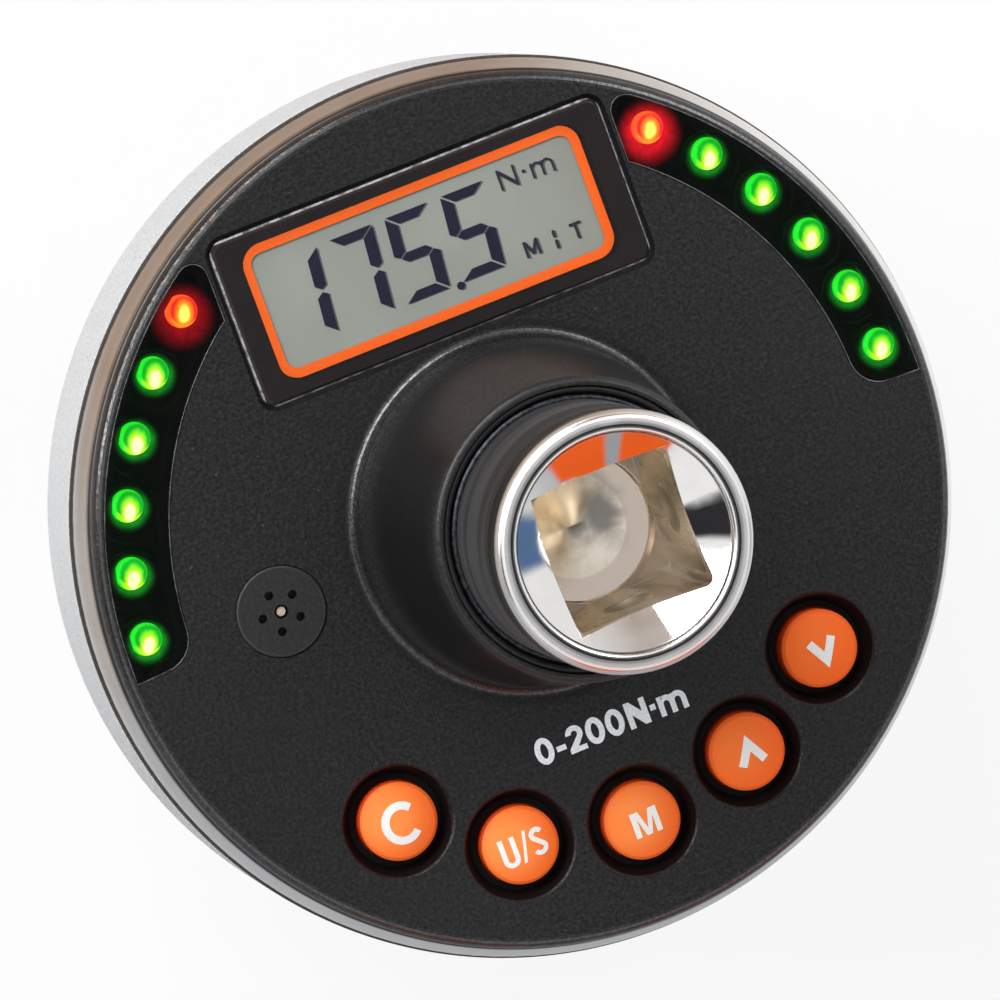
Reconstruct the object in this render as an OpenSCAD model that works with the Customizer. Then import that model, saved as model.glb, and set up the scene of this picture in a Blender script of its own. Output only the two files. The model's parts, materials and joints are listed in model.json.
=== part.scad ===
// Digital torque and angle gauge for 1/2 inch square drive tools.
// A round head with a display and keys sits on a drive shaft that has a
// male square behind the head and a female square in front of it.
// Frame: origin at the centre of the male square's tip, +Z along the drive
// axis towards the display side, +Y from the axis towards the display.
// Millimetres throughout.

/* [Drive] */
// Nominal square of both drive ends
square = 12.7; // [9.5:0.05:13.5]
// Length of the male square
male_len = 15.5; // [12:0.5:20]
// Length of the hub between the male square and the head
hub_len = 3.5; // [2:0.5:8]
// Depth of the female square
female_depth = 16; // [14:0.5:18]
// Outer diameter of the socket nose
nose_d = 23; // [22:0.5:26]
// Height of the nose end above the cover face
nose_rise = 36.4; // [30:0.1:45]
// Diameter of the hub behind the head
hub_d = 21.6; // [20:0.2:23]
// Diameter of the torsion neck that carries the strain gauges
neck_d = 17; // [14:0.5:18]

/* [Head] */
// Outer diameter of the rear housing
case_d = 82.8; // [80:0.2:96]
// Width of the rim around the black front cover
rim_w = 1.4; // [1.2:0.1:2]
// Radius of the rear edge of the housing
rear_round = 4; // [2:0.5:5]

/* [Boss] */
// Height of the boss above the face
boss_rise = 21.7; // [16:0.1:26]
// Taper of the boss on each side
boss_taper = 2.4; // [1:0.1:3]

/* [Display] */
// Width of the display window
window_w = 38.3; // [32:0.1:42]
// Height of the display window
window_h = 15.8; // [13:0.1:16.5]

/* [Lights] */
// Width of the light windows
light_w = 6; // [5:0.1:7]
// Diodes on each side, the first of them red
led_count = 6; // [3:1:6]
// Diameter of a diode
led_d = 3; // [2:0.1:3]

/* [Keys] */
// Angle between neighbouring keys
key_step = 22; // [20:0.5:24]
// Diameter of a key cap
key_d = 7.2; // [6:0.1:7.6]
// Travel of a key
key_travel = 0.5; // [0.3:0.05:0.6]

/* [Buzzer] */
// Diameter of the grille disc
grille_d = 8.4; // [7:0.1:9]

/* [Battery] */
// Diameter of a cell
cell_d = 10.5; // [9:0.1:11]
// Length of a cell with its nub
cell_len = 44.5; // [40:0.1:45]

/* [Hidden] */
$fn = 96;
cut = 1;
arc_steps = 6;
long_steps = 30;
gap = 0.05;
part_gap = 0.1;

// Colours
steel_col = [0.78, 0.78, 0.80];
black_col = [0.16, 0.16, 0.17];
silver_col = [0.86, 0.85, 0.83];
housing_col = [0.83, 0.84, 0.84];
orange_col = [0.96, 0.42, 0.14];
rubber_col = [0.06, 0.06, 0.06];
smoke_col = [0.10, 0.11, 0.11, 0.6];
board_col = [0.05, 0.25, 0.12];
brass_col = [0.80, 0.66, 0.36];

// Male and female squares
male_flat = square - gap;
male_corner_share = 0.662;
male_corner_r = square * male_corner_share;
male_chamfer_r = 1.6;
male_chamfer_h = 1.6;
female_flat = square + part_gap;
female_round = 1;
drill_over = 0.25;
drill_r = female_flat / 2 + drill_over;
drill_deep = 2;
drill_point = 1.8;
dimple_r = 3.2;
dimple_in = 2.2;
dimple_down = 8.5;

// Depth of the head, from the stack of what lies in it
door_t = 1.5;
cell_fit = 0.4;
cell_head_room = 1.22;
board_t = 1.6;
holder_t = 1.6;
lcd_t = 1.7;
window_t = 1.45;
window_up = 0.25;
mask_t = 0.08;
pocket_deep = window_t - window_up + mask_t + gap;
board_down = pocket_deep + lcd_t + holder_t + board_t + 3 * gap;
head_depth = door_t + cell_fit + cell_d + cell_head_room + board_down;
rear_z = male_len + hub_len;
face_z = rear_z + head_depth;

// Heights of the shaft's steps
nose_z = face_z + nose_rise;
hub_chamfer = 0.8;
tube_h = 6;
flange_z = rear_z + tube_h;
flange_t = 3;
flange_over = 4.8;
flange_r = hub_d / 2 + flange_over;
flange_edge = 0.4;
neck_blend = 1.4;
neck_step = 0.4;
neck_len = 5.6;
neck_bottom = flange_z + flange_t + neck_blend + neck_step;
neck_top = neck_bottom + neck_len;
nose_chamfer = 0.5;
clip_wire_r = 0.45;
clip_t = 2 * clip_wire_r;
clip_down = 1.2;
clip_z = face_z + boss_rise - clip_down;
clip_groove = 0.4;
clip_in_r = nose_d / 2 - clip_groove;
clip_out_r = clip_in_r + clip_t;
clip_gap_w = 3;
clip_gap_angle = 52;
lip_out = 1;
lip_w = 2;
lip_in = 0.5;
lip_in_r = nose_d / 2 - lip_w;
female_cone = lip_in_r - female_flat / 2;
female_cone_share = 0.7;
female_cone_h = female_cone * female_cone_share;

// Strain gauges and their flat lead
gauge_angle = 50;
gauge_t = 0.2;
gauge_h = 4.2;
flex_fit = 0.1;
flex_lap = 2.4;
flex_w = 3;
flex_t = 0.16;

// Detent ball and its spring
ball_r = 2.4;
ball_z = 7.6;
ball_out = 0.9;
ball_x = male_flat / 2 + ball_out - ball_r;
ball_travel = 0.9;
ball_fit = 0.06;
ball_bore_r = ball_r + ball_fit;
ball_lip_in = 0.2;
ball_lip_r = ball_r - ball_lip_in;
ball_lip_t = 0.4;
ball_bore_end = -2.6;
spring_r = 1.6;
spring_wire_r = 0.28;
spring_turns = 5;
spring_start = ball_bore_end + spring_wire_r + gap;
spring_seat_share = 0.86;
spring_end = ball_x - ball_r * spring_seat_share - spring_wire_r;

// Cover plate
case_r = case_d / 2;
cover_r = case_r - rim_w;
cover_t = 2.4;
cover_flange_t = 1.2;
cover_step = 0.7;
cover_step_r = cover_r - cover_step;
cover_edge = 1;
boss_blend = 0.9;
boss_edge = 0.7;
boss_fit = 0.4;
boss_bore_r = nose_d / 2 + boss_fit;
seal_width = 1.25;
seal_seat_r = nose_d / 2 + seal_width;
seal_down = 0.25;
seal_fit = 0.05;
boss_wall = 0.85;
boss_top_r = seal_seat_r + boss_wall;
boss_base_r = boss_top_r + boss_taper;
seal_seat_h = 3.2;
cover_z = face_z - cover_t;

// Bezel ring, gasket and housing rim
bezel_in_r = cover_step_r + part_gap;
bezel_flare = 1.16;
bezel_out_r = cover_r + bezel_flare;
bezel_bulge = 3.6;
bezel_edge = 0.15;
bezel_foot = 0.35;
bezel_turn = 47;
bezel_deep = 4.55;
bezel_top = face_z - cover_flange_t - gap;
bezel_bottom = face_z - bezel_deep;
gasket_t = 0.2;
gasket_in = 0.3;
rim_z = bezel_bottom - gasket_t - 2 * gap;
spigot_t = 0.95;
spigot_deep = 3;
spigot_r = bezel_in_r - gap;
case_in_r = spigot_r - spigot_t;
spigot_top = face_z - spigot_deep;
floor_t = 2;
floor_z = rear_z + floor_t;
rim_edge = 0.35;
ledge_w = 1.2;
ledge_r = case_in_r - ledge_w;
ledge_t = 2;
tube_over = 0.4;
tube_r = flange_r + tube_over;
hub_fit = 0.3;
hub_bore_r = hub_d / 2 + hub_fit;
rear_seal_w = 2.2;
rear_seal_r = hub_d / 2 + rear_seal_w;
rear_seal_lip_w = 0.45;
rear_seal_lip_h = 0.1;
rear_seal_fit = 0.05;
rear_seal_t = 1.5;

// Main board
board_z = face_z - board_down;
board_top = board_z + board_t;
board_fit = 0.4;
board_r = case_in_r - board_fit;
board_hole_fit = 1.1;
board_hole_r = nose_d / 2 + board_hole_fit;
ledge_z = board_z - gap;

// Chips on the board: centres as shares of its radius, sizes as shares of chip_w,
// and a driver chip that stands just below the display's holder
chip_t = 0.9;
chip_w = 7;
chip_place_shares = [[0.59, -0.01], [0.58, -0.29], [-0.77, -0.17]];
chip_size_shares = [[1, 1], [0.57, 0.57], [0.43, 0.43]];
driver_w = 6;
driver_h = 3.2;
driver_gap = 1;
driver_x = -3;

// Case screws, one behind each post of the cover
post_angles = [75, 105, 190, 259, 281, 350];
post_in = 2.4;
post_ring_r = case_in_r - post_in;
post_r = 2;
post_clear = 0.4;
post_down = 5;
post_split = face_z - post_down;
case_screw_fit = 0.15;
case_thread_fit = 0.05;
case_head_fit = 0.2;
case_head_in = 0.4;
case_head_room = 0.5;
case_skin = 1.6;
case_tip_room = 0.4;
cross_w = 0.5;
cross_len = 2.2;
cross_deep = 0.7;
case_screw_r = 1;
case_head_r = 1.85;
case_head_t = 1.2;
case_pilot_top = face_z - case_skin;

// Flange screws
flange_screw_angles = [45, 135, 225, 315];
flange_screw_out = 2.6;
flange_screw_ring = hub_d / 2 + flange_screw_out;
flange_screw_r = 1.25;
flange_head_r = 2.05;
flange_head_t = 1.6;
flange_screw_len = 5.5;
flange_screw_fit = 0.1;
flange_thread_fit = 0.05;
flange_hole_deep = 4;
hex_r = 1.1;
hex_deep = 0.9;
head_seat = 0.02;

// Display
window_gap = 1.4;
window_y = boss_base_r + window_gap + window_h / 2;
window_round = 1.3;
window_bevel = 0.4;
mask_fit = 0.05;
print_seat = 0.01;
print_fit = 0.02;
aperture_round = 1;
window_groove = 0.45;
window_ledge_w = 1.55;
window_ledge_h = 1.2;
aperture_w = window_w - 2 * window_ledge_w;
aperture_h = window_h - 2 * window_ledge_h;
line_in_w = 2.5;
line_in_h = 1.5;
line_w = window_w - 2 * line_in_w;
line_h = window_h - 2 * line_in_h;
line_t = 0.9;
line_round = 2;
lcd_fit_w = 0.3;
lcd_fit_h = 0.4;
lcd_w = aperture_w - 2 * lcd_fit_w;
lcd_h = aperture_h - 2 * lcd_fit_h;
lcd_top = face_z - pocket_deep - gap;
holder_over = 0.7;
holder_over_h = 0.8;
holder_w = lcd_w + 2 * holder_over;
holder_h = lcd_h + 2 * holder_over_h;
holder_top = lcd_top - lcd_t - gap;
holder_wall = 1.2;
holder_round = 0.8;
holder_round_in = 0.5;
lcd_round = 0.3;
zebra_round = 0.3;
zebra_in = 1.3;
zebra_w = lcd_w - 2 * zebra_in;
zebra_t = 1.5;

// Light windows: crescents that end against the display window
light_edge = 1;
light_out_r = cover_r - light_edge;
light_in_r = light_out_r - light_w;
light_t = 0.86;
light_side_gap = 0.7;
light_side_x = window_w / 2 + light_side_gap;
light_top_round = 1.5;
light_top_x = light_side_x + light_top_round;
light_top_y = sqrt(pow(light_out_r - light_top_round, 2) - pow(light_top_x, 2));
light_low_round = 3;
light_low_angle = 92;
light_seat = 0.04;
light_pocket = light_t + light_seat;
light_fit = 0.06;
light_shelf = 0.9;
light_low_turn = 4.8;
light_mid_angle = light_low_angle - light_low_turn;
light_mid_r = light_in_r + light_low_round;
led_in = 2.4;
led_ring_r = light_out_r - led_in;
led_side = 3.2;
led_first = asin((light_side_x + led_side) / led_ring_r);
led_last = 86.85;
led_step = (led_last - led_first) / (led_count - 1);
led_r = led_d / 2;
led_flange_over = 0.2;
led_flange_r = led_r + led_flange_over;
led_flange_t = 0.8;
led_down = 1.25;
led_top = face_z - led_down;
holder_end_angle = 4;
well_fit = 0.7;
well_r = led_flange_r + well_fit;
light_holder_lap = 0.1;
light_holder_in = light_in_r + light_holder_lap;
light_holder_fit = 0.15;
light_holder_out = case_in_r - light_holder_fit;
light_holder_top = cover_z - gap;

// Keys
key_in = 9.6;
key_ring_r = cover_r - key_in;
key_angles = [for (i = [-2 : 2]) 270 + i * key_step];
key_r = key_d / 2;
key_dome_up = 0.9;
key_edge = 0.3;
key_dome_r = 9;
key_dish_w = 1.5;
key_dish_low_w = 0.7;
key_dish_r = key_r + key_dish_w;
key_dish_low_r = key_r + key_dish_low_w;
key_dish_deep = 1.7;
key_dish_edge = 0.2;
key_fit = 0.15;
key_guide_r = key_r + key_fit;
key_flange_w = 1;
key_flange_r = key_r + key_flange_w;
key_flange_t = 0.55;
key_flange_top = cover_z - gap;
switch_w = 4.4;
switch_h = 0.9;
switch_dome_r = 1.3;
switch_top = key_flange_top - key_flange_t - key_travel - gap;

// Buzzer
buzzer_out = 8.4;
buzzer_x = boss_base_r + buzzer_out;
grille_r = grille_d / 2;
grille_t = 1;
grille_edge = 0.2;
grille_hole_r = 0.42;
grille_ring_r = 1.82;
grille_mid_r = 0.64;
grille_holes = [for (i = [0 : 4]) 36 + 72 * i];
grille_shelf = 0.9;
grille_open_r = grille_r - grille_shelf;
grille_fit = 0.05;
buzzer_over = 0.1;
buzzer_r = grille_r + buzzer_over;
buzzer_pin_r = 0.42;
buzzer_gap = 0.3;
buzzer_top = cover_z - buzzer_gap;
buzzer_pin_down = 0.25;

// Battery compartments and doors
cell_y = 0.65;
cell_z = rear_z + door_t + cell_fit + cell_d / 2;
cell_room_fit = 0.5;
cell_room_w = cell_d + cell_room_fit;
room_wall = 0.9;
room_gap = 0.6;
cell_x = flange_r + room_gap + room_wall + cell_room_w / 2;
cell_spring_room = 2.45;
cell_room_low = cell_y - cell_len / 2 - cell_spring_room;
cell_room_high = cell_y + cell_len / 2 + cell_room_fit;
room_h = 8;
room_top = floor_z + room_h;
nub_r = 2.5;
nub_len = 1;
contact_t = 0.4;
contact_in = 1.25;
contact_w = cell_d - 2 * contact_in;
contact_low = 1;
contact_top_gap = 0.1;
coil_seat = 0.02;
cell_coils = 3;
cell_spring_r = 2.6;
cell_spring_wire = 0.35;
door_rim = 0.7;
door_w = cell_room_w + 2 * door_rim;
door_rim_h = 0.775;
door_h = cell_room_high - cell_room_low + 2 * door_rim_h;
door_y = (cell_room_low + cell_room_high) / 2;
door_round = 3;
door_fit = 0.12;
door_lip = 0.8;
door_lip_t = 0.8;
door_lip_fit = 0.15;
door_lip_round = 0.5;
tab_out = 8.7;
tab_x = cell_x + tab_out;
tab_r = 3.2;
door_screw_r = 0.95;
door_screw_fit = 0.05;
door_screw_bore = door_screw_r + door_screw_fit;
door_hole_fit = 0.02;
door_head_r = 1.7;
door_head_fit = 0.1;
door_head_t = 0.8;
door_screw_len = 6;
door_bore_over = 1;
door_boss_r = 2.2;
door_boss_h = 8.2;
door_boss_top = rear_z + door_boss_h;
door_cross_len = 2;
door_cross_deep = 0.5;
grip_y = -16;
grip_len = 8;
grip_pitch = 2.2;
grip_w = 0.9;
grip_deep = 0.35;
grip_half_count = 3;

// Points of an arc, for profiles
function arc(cx, cy, r, a0, a1, steps = arc_steps) =
  [for (i = [0 : steps])
    let (a = a0 + (a1 - a0) * i / steps)
    [cx + r * cos(a), cy + r * sin(a)]];

module disc(r, z0, z1) {
  translate([0, 0, z0])
    cylinder(r = r, h = z1 - z0);
}

module ring(r_out, r_in, z0, z1) {
  difference() {
    disc(r_out, z0, z1);
    disc(r_in, z0 - cut, z1 + cut);
  }
}

module rounded(w, h, r) {
  union() {
    square([w - 2 * r, h], center = true);
    square([w, h - 2 * r], center = true);
    for (sx = [-1, 1], sy = [-1, 1])
      translate([sx * (w / 2 - r), sy * (h / 2 - r)])
        circle(r = r, $fn = 32);
  }
}

module slab(w, h, r, z0, z1) {
  translate([0, 0, z0])
    linear_extrude(z1 - z0)
      rounded(w, h, r);
}

module block(x0, x1, y0, y1, z0, z1) {
  translate([x0, y0, z0])
    cube([x1 - x0, y1 - y0, z1 - z0]);
}

module at_polar(r, a) {
  rotate([0, 0, a])
    translate([r, 0, 0])
      children();
}

module at_posts() {
  for (a = post_angles)
    at_polar(post_ring_r, a)
      children();
}

module mirrored_x() {
  children();
  mirror([1, 0, 0])
    children();
}

// Wire coil along +X, made of rings so that it stays exact
module coil(r, wire, x0, x1, turns) {
  for (i = [0 : turns - 1])
    translate([x0 + (x1 - x0) * i / (turns - 1), 0, 0])
      rotate([0, 90, 0])
        rotate_extrude($fn = 32)
          translate([r, 0])
            circle(r = wire, $fn = 16);
  for (i = [0 : turns - 2])
    translate([x0 + (x1 - x0) * i / (turns - 1), 0, 0])
      rotate([(i % 2) * 180, 0, 0])
        translate([0, 0, r])
          rotate([0, 90, 0])
            cylinder(r = wire, h = (x1 - x0) / (turns - 1), $fn = 16);
}

// Drive shaft

module male_square() {
  intersection() {
    translate([-male_flat / 2, -male_flat / 2, 0])
      cube([male_flat, male_flat, male_len + cut]);
    rotate_extrude()
      polygon([
        [0, 0],
        [male_corner_r - male_chamfer_r, 0],
        [male_corner_r, male_chamfer_h],
        [male_corner_r, male_len + cut],
        [0, male_len + cut]
      ]);
  }
}

module shaft_body() {
  rotate_extrude()
    polygon(concat(
      [
        [0, male_len],
        [hub_d / 2 - hub_chamfer, male_len],
        [hub_d / 2, male_len + hub_chamfer],
        [hub_d / 2, flange_z],
        [flange_r - flange_edge, flange_z],
        [flange_r, flange_z + flange_edge],
        [flange_r, flange_z + flange_t - flange_edge],
        [flange_r - flange_edge, flange_z + flange_t],
        [neck_d / 2 + neck_blend, flange_z + flange_t]
      ],
      arc(neck_d / 2 + neck_blend, neck_bottom, neck_blend, 270, 180),
      arc(neck_d / 2 + neck_blend, neck_top, neck_blend, 180, 90),
      [
        [nose_d / 2 - nose_chamfer, neck_top + neck_blend],
        [nose_d / 2, neck_top + neck_blend + nose_chamfer],
        [nose_d / 2, clip_z - gap],
        [clip_in_r - gap, clip_z - gap],
        [clip_in_r - gap, clip_z + clip_t + gap],
        [nose_d / 2, clip_z + clip_t + gap]
      ],
      arc(nose_d / 2 - lip_out, nose_z - lip_out, lip_out, 0, 90),
      arc(lip_in_r + lip_in, nose_z - lip_in, lip_in, 90, 180),
      [[0, nose_z - lip_in]]
    ));
}

module female_square() {
  top = nose_z - lip_in;
  // square bore with its small corner rounds
  slab(female_flat, female_flat, female_round, nose_z - female_depth, nose_z);
  // lead-in cone and the relief above it
  translate([0, 0, top - female_cone_h])
    cylinder(r1 = lip_in_r - female_cone, r2 = lip_in_r, h = female_cone_h);
  disc(lip_in_r, top - gap / 2, nose_z + cut);
  // drilled floor
  disc(drill_r, nose_z - female_depth - drill_deep, nose_z - female_depth + gap);
  translate([0, 0, nose_z - female_depth - drill_deep - drill_point])
    cylinder(r1 = 0, r2 = drill_r, h = drill_point + gap / 2);
  // hollow on each flat for the detent ball
  for (a = [0 : 90 : 270])
    rotate([0, 0, a])
      translate([female_flat / 2 - dimple_in, 0, nose_z - dimple_down])
        sphere(r = dimple_r, $fn = 48);
}

module ball_bore() {
  translate([ball_bore_end, 0, ball_z])
    rotate([0, 90, 0])
      cylinder(r = ball_bore_r, h = male_flat / 2 - ball_lip_t - ball_bore_end);
  translate([0, 0, ball_z])
    rotate([0, 90, 0])
      cylinder(r = ball_lip_r, h = male_flat / 2 + cut);
}

module drive_shaft() {
  color(steel_col)
    difference() {
      union() {
        male_square();
        shaft_body();
      }
      female_square();
      ball_bore();
      for (a = flange_screw_angles)
        at_polar(flange_screw_ring, a)
          disc(flange_screw_r + flange_screw_fit, flange_z - cut,
            flange_z + flange_t + cut);
    }
}

module detent_ball() {
  color(steel_col)
    translate([ball_x, 0, ball_z])
      sphere(r = ball_r, $fn = 48);
}

module detent_spring() {
  color(steel_col)
    translate([0, 0, ball_z])
      coil(spring_r, spring_wire_r, spring_start, spring_end, spring_turns);
}

module strain_gauges() {
  color(brass_col)
    for (a = [0 : 90 : 270])
      rotate([0, 0, a - gauge_angle / 2])
        rotate_extrude(angle = gauge_angle)
          translate([neck_d / 2 + head_seat, neck_bottom + (neck_len - gauge_h) / 2])
            square([gauge_t, gauge_h]);
}

module gauge_flex() {
  color([0.75, 0.45, 0.10])
    block(neck_d / 2 + gauge_t + flex_fit, board_hole_r + flex_lap,
      -flex_w / 2, flex_w / 2, board_z - flex_t - head_seat, board_z - head_seat);
}

// Front cover and its boss

// Outline of a light window, grown by g: outer arc, square lower corner,
// round inner corner, inner arc and the side against the display
module light_shape(g) {
  side_x = light_side_x - g;
  top_a = atan2(light_top_y, light_top_x);
  low_a = 90 - light_low_angle;
  mid_a = 90 - light_mid_angle;
  polygon(concat(
    arc(0, 0, light_out_r + g, top_a, low_a, long_steps),
    [[light_mid_r * cos(low_a), light_mid_r * sin(low_a) - g]],
    arc(light_mid_r * cos(mid_a), light_mid_r * sin(mid_a),
      light_low_round + g, mid_a - 90, mid_a - 180),
    arc(0, 0, light_in_r - g, mid_a, acos(side_x / (light_in_r - g)), long_steps),
    arc(light_top_x, light_top_y, light_top_round + g, 180, top_a)
  ));
}

module light_body(g, z0, z1) {
  translate([0, 0, z0])
    linear_extrude(z1 - z0)
      light_shape(g);
}

module cover_body() {
  top = face_z + boss_rise;
  rotate_extrude()
    polygon(concat(
      [
        [boss_bore_r, cover_z],
        [cover_step_r, cover_z],
        [cover_step_r, face_z - cover_flange_t],
        [cover_r, face_z - cover_flange_t]
      ],
      arc(cover_r - cover_edge, face_z - cover_edge, cover_edge, 0, 90),
      arc(boss_base_r + boss_blend, face_z + boss_blend, boss_blend, 270, 190),
      arc(boss_top_r - boss_edge, top - boss_edge, boss_edge, 6, 90),
      [
        [seal_seat_r, top],
        [seal_seat_r, top - seal_seat_h],
        [boss_bore_r, top - seal_seat_h]
      ]
    ));
}

module key_well() {
  translate([0, 0, face_z - key_dish_deep])
    cylinder(r1 = key_dish_low_r, r2 = key_dish_r, h = key_dish_deep - key_dish_edge);
  translate([0, 0, face_z - key_dish_edge])
    cylinder(r1 = key_dish_r, r2 = key_dish_r + key_dish_edge, h = key_dish_edge);
  disc(key_dish_r + key_dish_edge, face_z, face_z + cut);
  disc(key_guide_r, cover_z - cut, face_z + cut);
}

module front_cover() {
  color(black_col)
    difference() {
      union() {
        cover_body();
        at_posts()
          disc(post_r, post_split + gap, cover_z + gap);
      }
      // display pocket and its aperture
      translate([0, window_y, 0]) {
        slab(window_w + 2 * window_groove, window_h + 2 * window_groove,
          window_round + window_groove, face_z - pocket_deep, face_z + cut);
        slab(aperture_w, aperture_h, aperture_round, cover_z - cut, face_z);
      }
      // light windows
      mirrored_x() {
        light_body(light_fit, face_z - light_pocket, face_z + cut);
        light_body(-light_shelf, cover_z - cut, face_z);
      }
      for (a = key_angles)
        at_polar(key_ring_r, a)
          key_well();
      // buzzer grille seat
      translate([-buzzer_x, 0, 0]) {
        disc(grille_r + grille_fit, face_z - grille_t - gap, face_z + cut);
        disc(grille_open_r, cover_z - cut, face_z);
      }
      at_posts()
        disc(case_screw_r, post_split - cut, case_pilot_top);
    }
}

module bezel_ring() {
  color(silver_col)
    rotate_extrude()
      polygon(concat(
        [
          [bezel_in_r, bezel_bottom],
          [bezel_out_r - bezel_edge, bezel_bottom]
        ],
        arc(bezel_out_r - bezel_bulge, bezel_bottom + bezel_foot, bezel_bulge,
          0, bezel_turn),
        [[bezel_in_r, bezel_top]]
      ));
}

module housing_gasket() {
  color(rubber_col)
    ring(bezel_out_r - gasket_in, spigot_r + gap,
      bezel_bottom - gap - gasket_t, bezel_bottom - gap);
}

// Rear housing

module door_shape(g) {
  translate([cell_x, door_y])
    rounded(door_w + 2 * g, door_h + 2 * g, door_round + g);
  translate([tab_x, 0])
    circle(r = tab_r + g, $fn = 48);
}

module cell_room() {
  block(cell_x - cell_room_w / 2, cell_x + cell_room_w / 2,
    cell_room_low, cell_room_high, rear_z - cut, room_top + cut);
}

module housing_shell() {
  difference() {
    rotate_extrude()
      polygon(concat(
        [[0, rear_z]],
        arc(case_r - rear_round, rear_z + rear_round, rear_round, 270, 360),
        [
          [case_r, rim_z - rim_edge],
          [case_r - rim_edge, rim_z],
          [spigot_r, rim_z],
          [spigot_r, spigot_top],
          [case_in_r, spigot_top],
          [case_in_r, ledge_z],
          [ledge_r, ledge_z],
          [ledge_r, ledge_z - ledge_t],
          [case_in_r, ledge_z - ledge_t - ledge_w],
          [case_in_r, floor_z],
          [0, floor_z]
        ]
      ));
    disc(hub_bore_r, rear_z - cut, floor_z + cut);
  }
}

module rear_housing() {
  color(housing_col)
    difference() {
      union() {
        housing_shell();
        ring(tube_r, hub_bore_r, floor_z - gap, flange_z - gap);
        at_posts()
          disc(post_r, floor_z - gap, post_split);
        mirrored_x() {
          block(cell_x - cell_room_w / 2 - room_wall,
            cell_x + cell_room_w / 2 + room_wall,
            cell_room_low - room_wall, cell_room_high + room_wall,
            floor_z - gap, room_top);
          translate([tab_x, 0, 0])
            disc(door_boss_r, floor_z - gap, door_boss_top);
        }
      }
      disc(rear_seal_r, rear_z - cut, rear_z + rear_seal_t);
      mirrored_x() {
        cell_room();
        translate([0, 0, rear_z - cut])
          linear_extrude(door_t + cut + gap)
            door_shape(door_fit);
        translate([tab_x, 0, 0])
          disc(door_screw_bore, rear_z, rear_z + door_screw_len + door_bore_over);
      }
      for (a = flange_screw_angles)
        at_polar(flange_screw_ring, a)
          disc(flange_screw_r - flange_thread_fit, flange_z - flange_hole_deep,
            flange_z + cut);
      at_posts() {
        disc(case_screw_r + case_screw_fit, rear_z, post_split + cut);
        disc(case_head_r + case_head_fit, rear_z - cut,
          rear_z + case_head_t + case_head_room);
      }
    }
}

// Rubber seal with a rounded ridge round the wire ring
module front_seal() {
  in_r = nose_d / 2 + seal_fit;
  out_r = seal_seat_r - gap;
  ridge_r = (out_r - clip_out_r - part_gap) / 2;
  low = face_z + boss_rise - seal_seat_h + gap;
  top = face_z + boss_rise - seal_down;
  color(rubber_col)
    rotate_extrude()
      polygon(concat(
        [[in_r, low], [out_r, low]],
        arc(out_r - ridge_r, top - ridge_r, ridge_r, 0, 180),
        [[out_r - 2 * ridge_r, clip_z - gap], [in_r, clip_z - gap]]
      ));
}

module retaining_ring() {
  color([0.25, 0.25, 0.27])
    rotate([0, 0, clip_gap_angle])
      difference() {
        rotate_extrude()
          translate([clip_in_r + clip_wire_r, clip_z + clip_wire_r])
            circle(r = clip_wire_r, $fn = 24);
        block(-clip_gap_w / 2, clip_gap_w / 2, -clip_out_r - cut, 0,
          clip_z - cut, clip_z + clip_t + cut);
      }
}

module rear_seal() {
  color(rubber_col)
    rotate_extrude()
      polygon([
        [hub_d / 2 + rear_seal_fit, rear_z + rear_seal_lip_h],
        [hub_d / 2 + rear_seal_lip_w, rear_z],
        [rear_seal_r - gap, rear_z],
        [rear_seal_r - gap, rear_z + rear_seal_t - gap],
        [hub_d / 2 + rear_seal_fit, rear_z + rear_seal_t - gap]
      ]);
}

module flange_screws() {
  color(steel_col)
    for (a = flange_screw_angles)
      at_polar(flange_screw_ring, a)
        difference() {
          union() {
            disc(flange_screw_r - 2 * flange_thread_fit,
              flange_z + flange_t - flange_screw_len,
              flange_z + flange_t + flange_head_t / 2);
            disc(flange_head_r, flange_z + flange_t + head_seat,
              flange_z + flange_t + flange_head_t);
          }
          translate([0, 0, flange_z + flange_t + flange_head_t - hex_deep])
            cylinder(r = hex_r, h = cut + hex_deep, $fn = 6);
        }
}

module case_screws() {
  color(steel_col)
    at_posts()
      difference() {
        union() {
          disc(case_screw_r - case_thread_fit, rear_z + case_head_in + case_head_t / 2,
            case_pilot_top - case_tip_room);
          disc(case_head_r, rear_z + case_head_in, rear_z + case_head_in + case_head_t);
        }
        // cross recess
        for (t = [0, 90])
          rotate([0, 0, t])
            block(-cross_len / 2, cross_len / 2, -cross_w / 2, cross_w / 2,
              rear_z + case_head_in - cut, rear_z + case_head_in + cross_deep);
      }
}

// Display

module display_window() {
  top = face_z + window_up;
  color([0.75, 0.78, 0.78, 0.25])
    translate([0, window_y, 0])
      hull() {
        slab(window_w, window_h, window_round, top - window_t, top - window_bevel);
        slab(window_w - 2 * window_bevel, window_h - 2 * window_bevel,
          window_round - window_bevel, top - gap, top);
      }
}

module display_mask() {
  top = face_z + window_up - window_t - print_seat;
  color([0.03, 0.03, 0.035])
    translate([0, window_y, 0])
      difference() {
        slab(window_w - 2 * mask_fit, window_h - 2 * mask_fit, window_round,
          top - mask_t, top);
        slab(line_w, line_h, line_round, top - cut, top + cut);
      }
}

module display_line() {
  top = face_z + window_up - window_t - print_seat;
  color(orange_col)
    translate([0, window_y, 0])
      difference() {
        slab(line_w - print_fit, line_h - print_fit, line_round, top - mask_t, top);
        slab(line_w - 2 * line_t, line_h - 2 * line_t, line_round - line_t,
          top - cut, top + cut);
      }
}

module lcd_panel() {
  color([0.66, 0.67, 0.62])
    translate([0, window_y, 0])
      slab(lcd_w, lcd_h, lcd_round, lcd_top - lcd_t, lcd_top);
}

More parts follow.
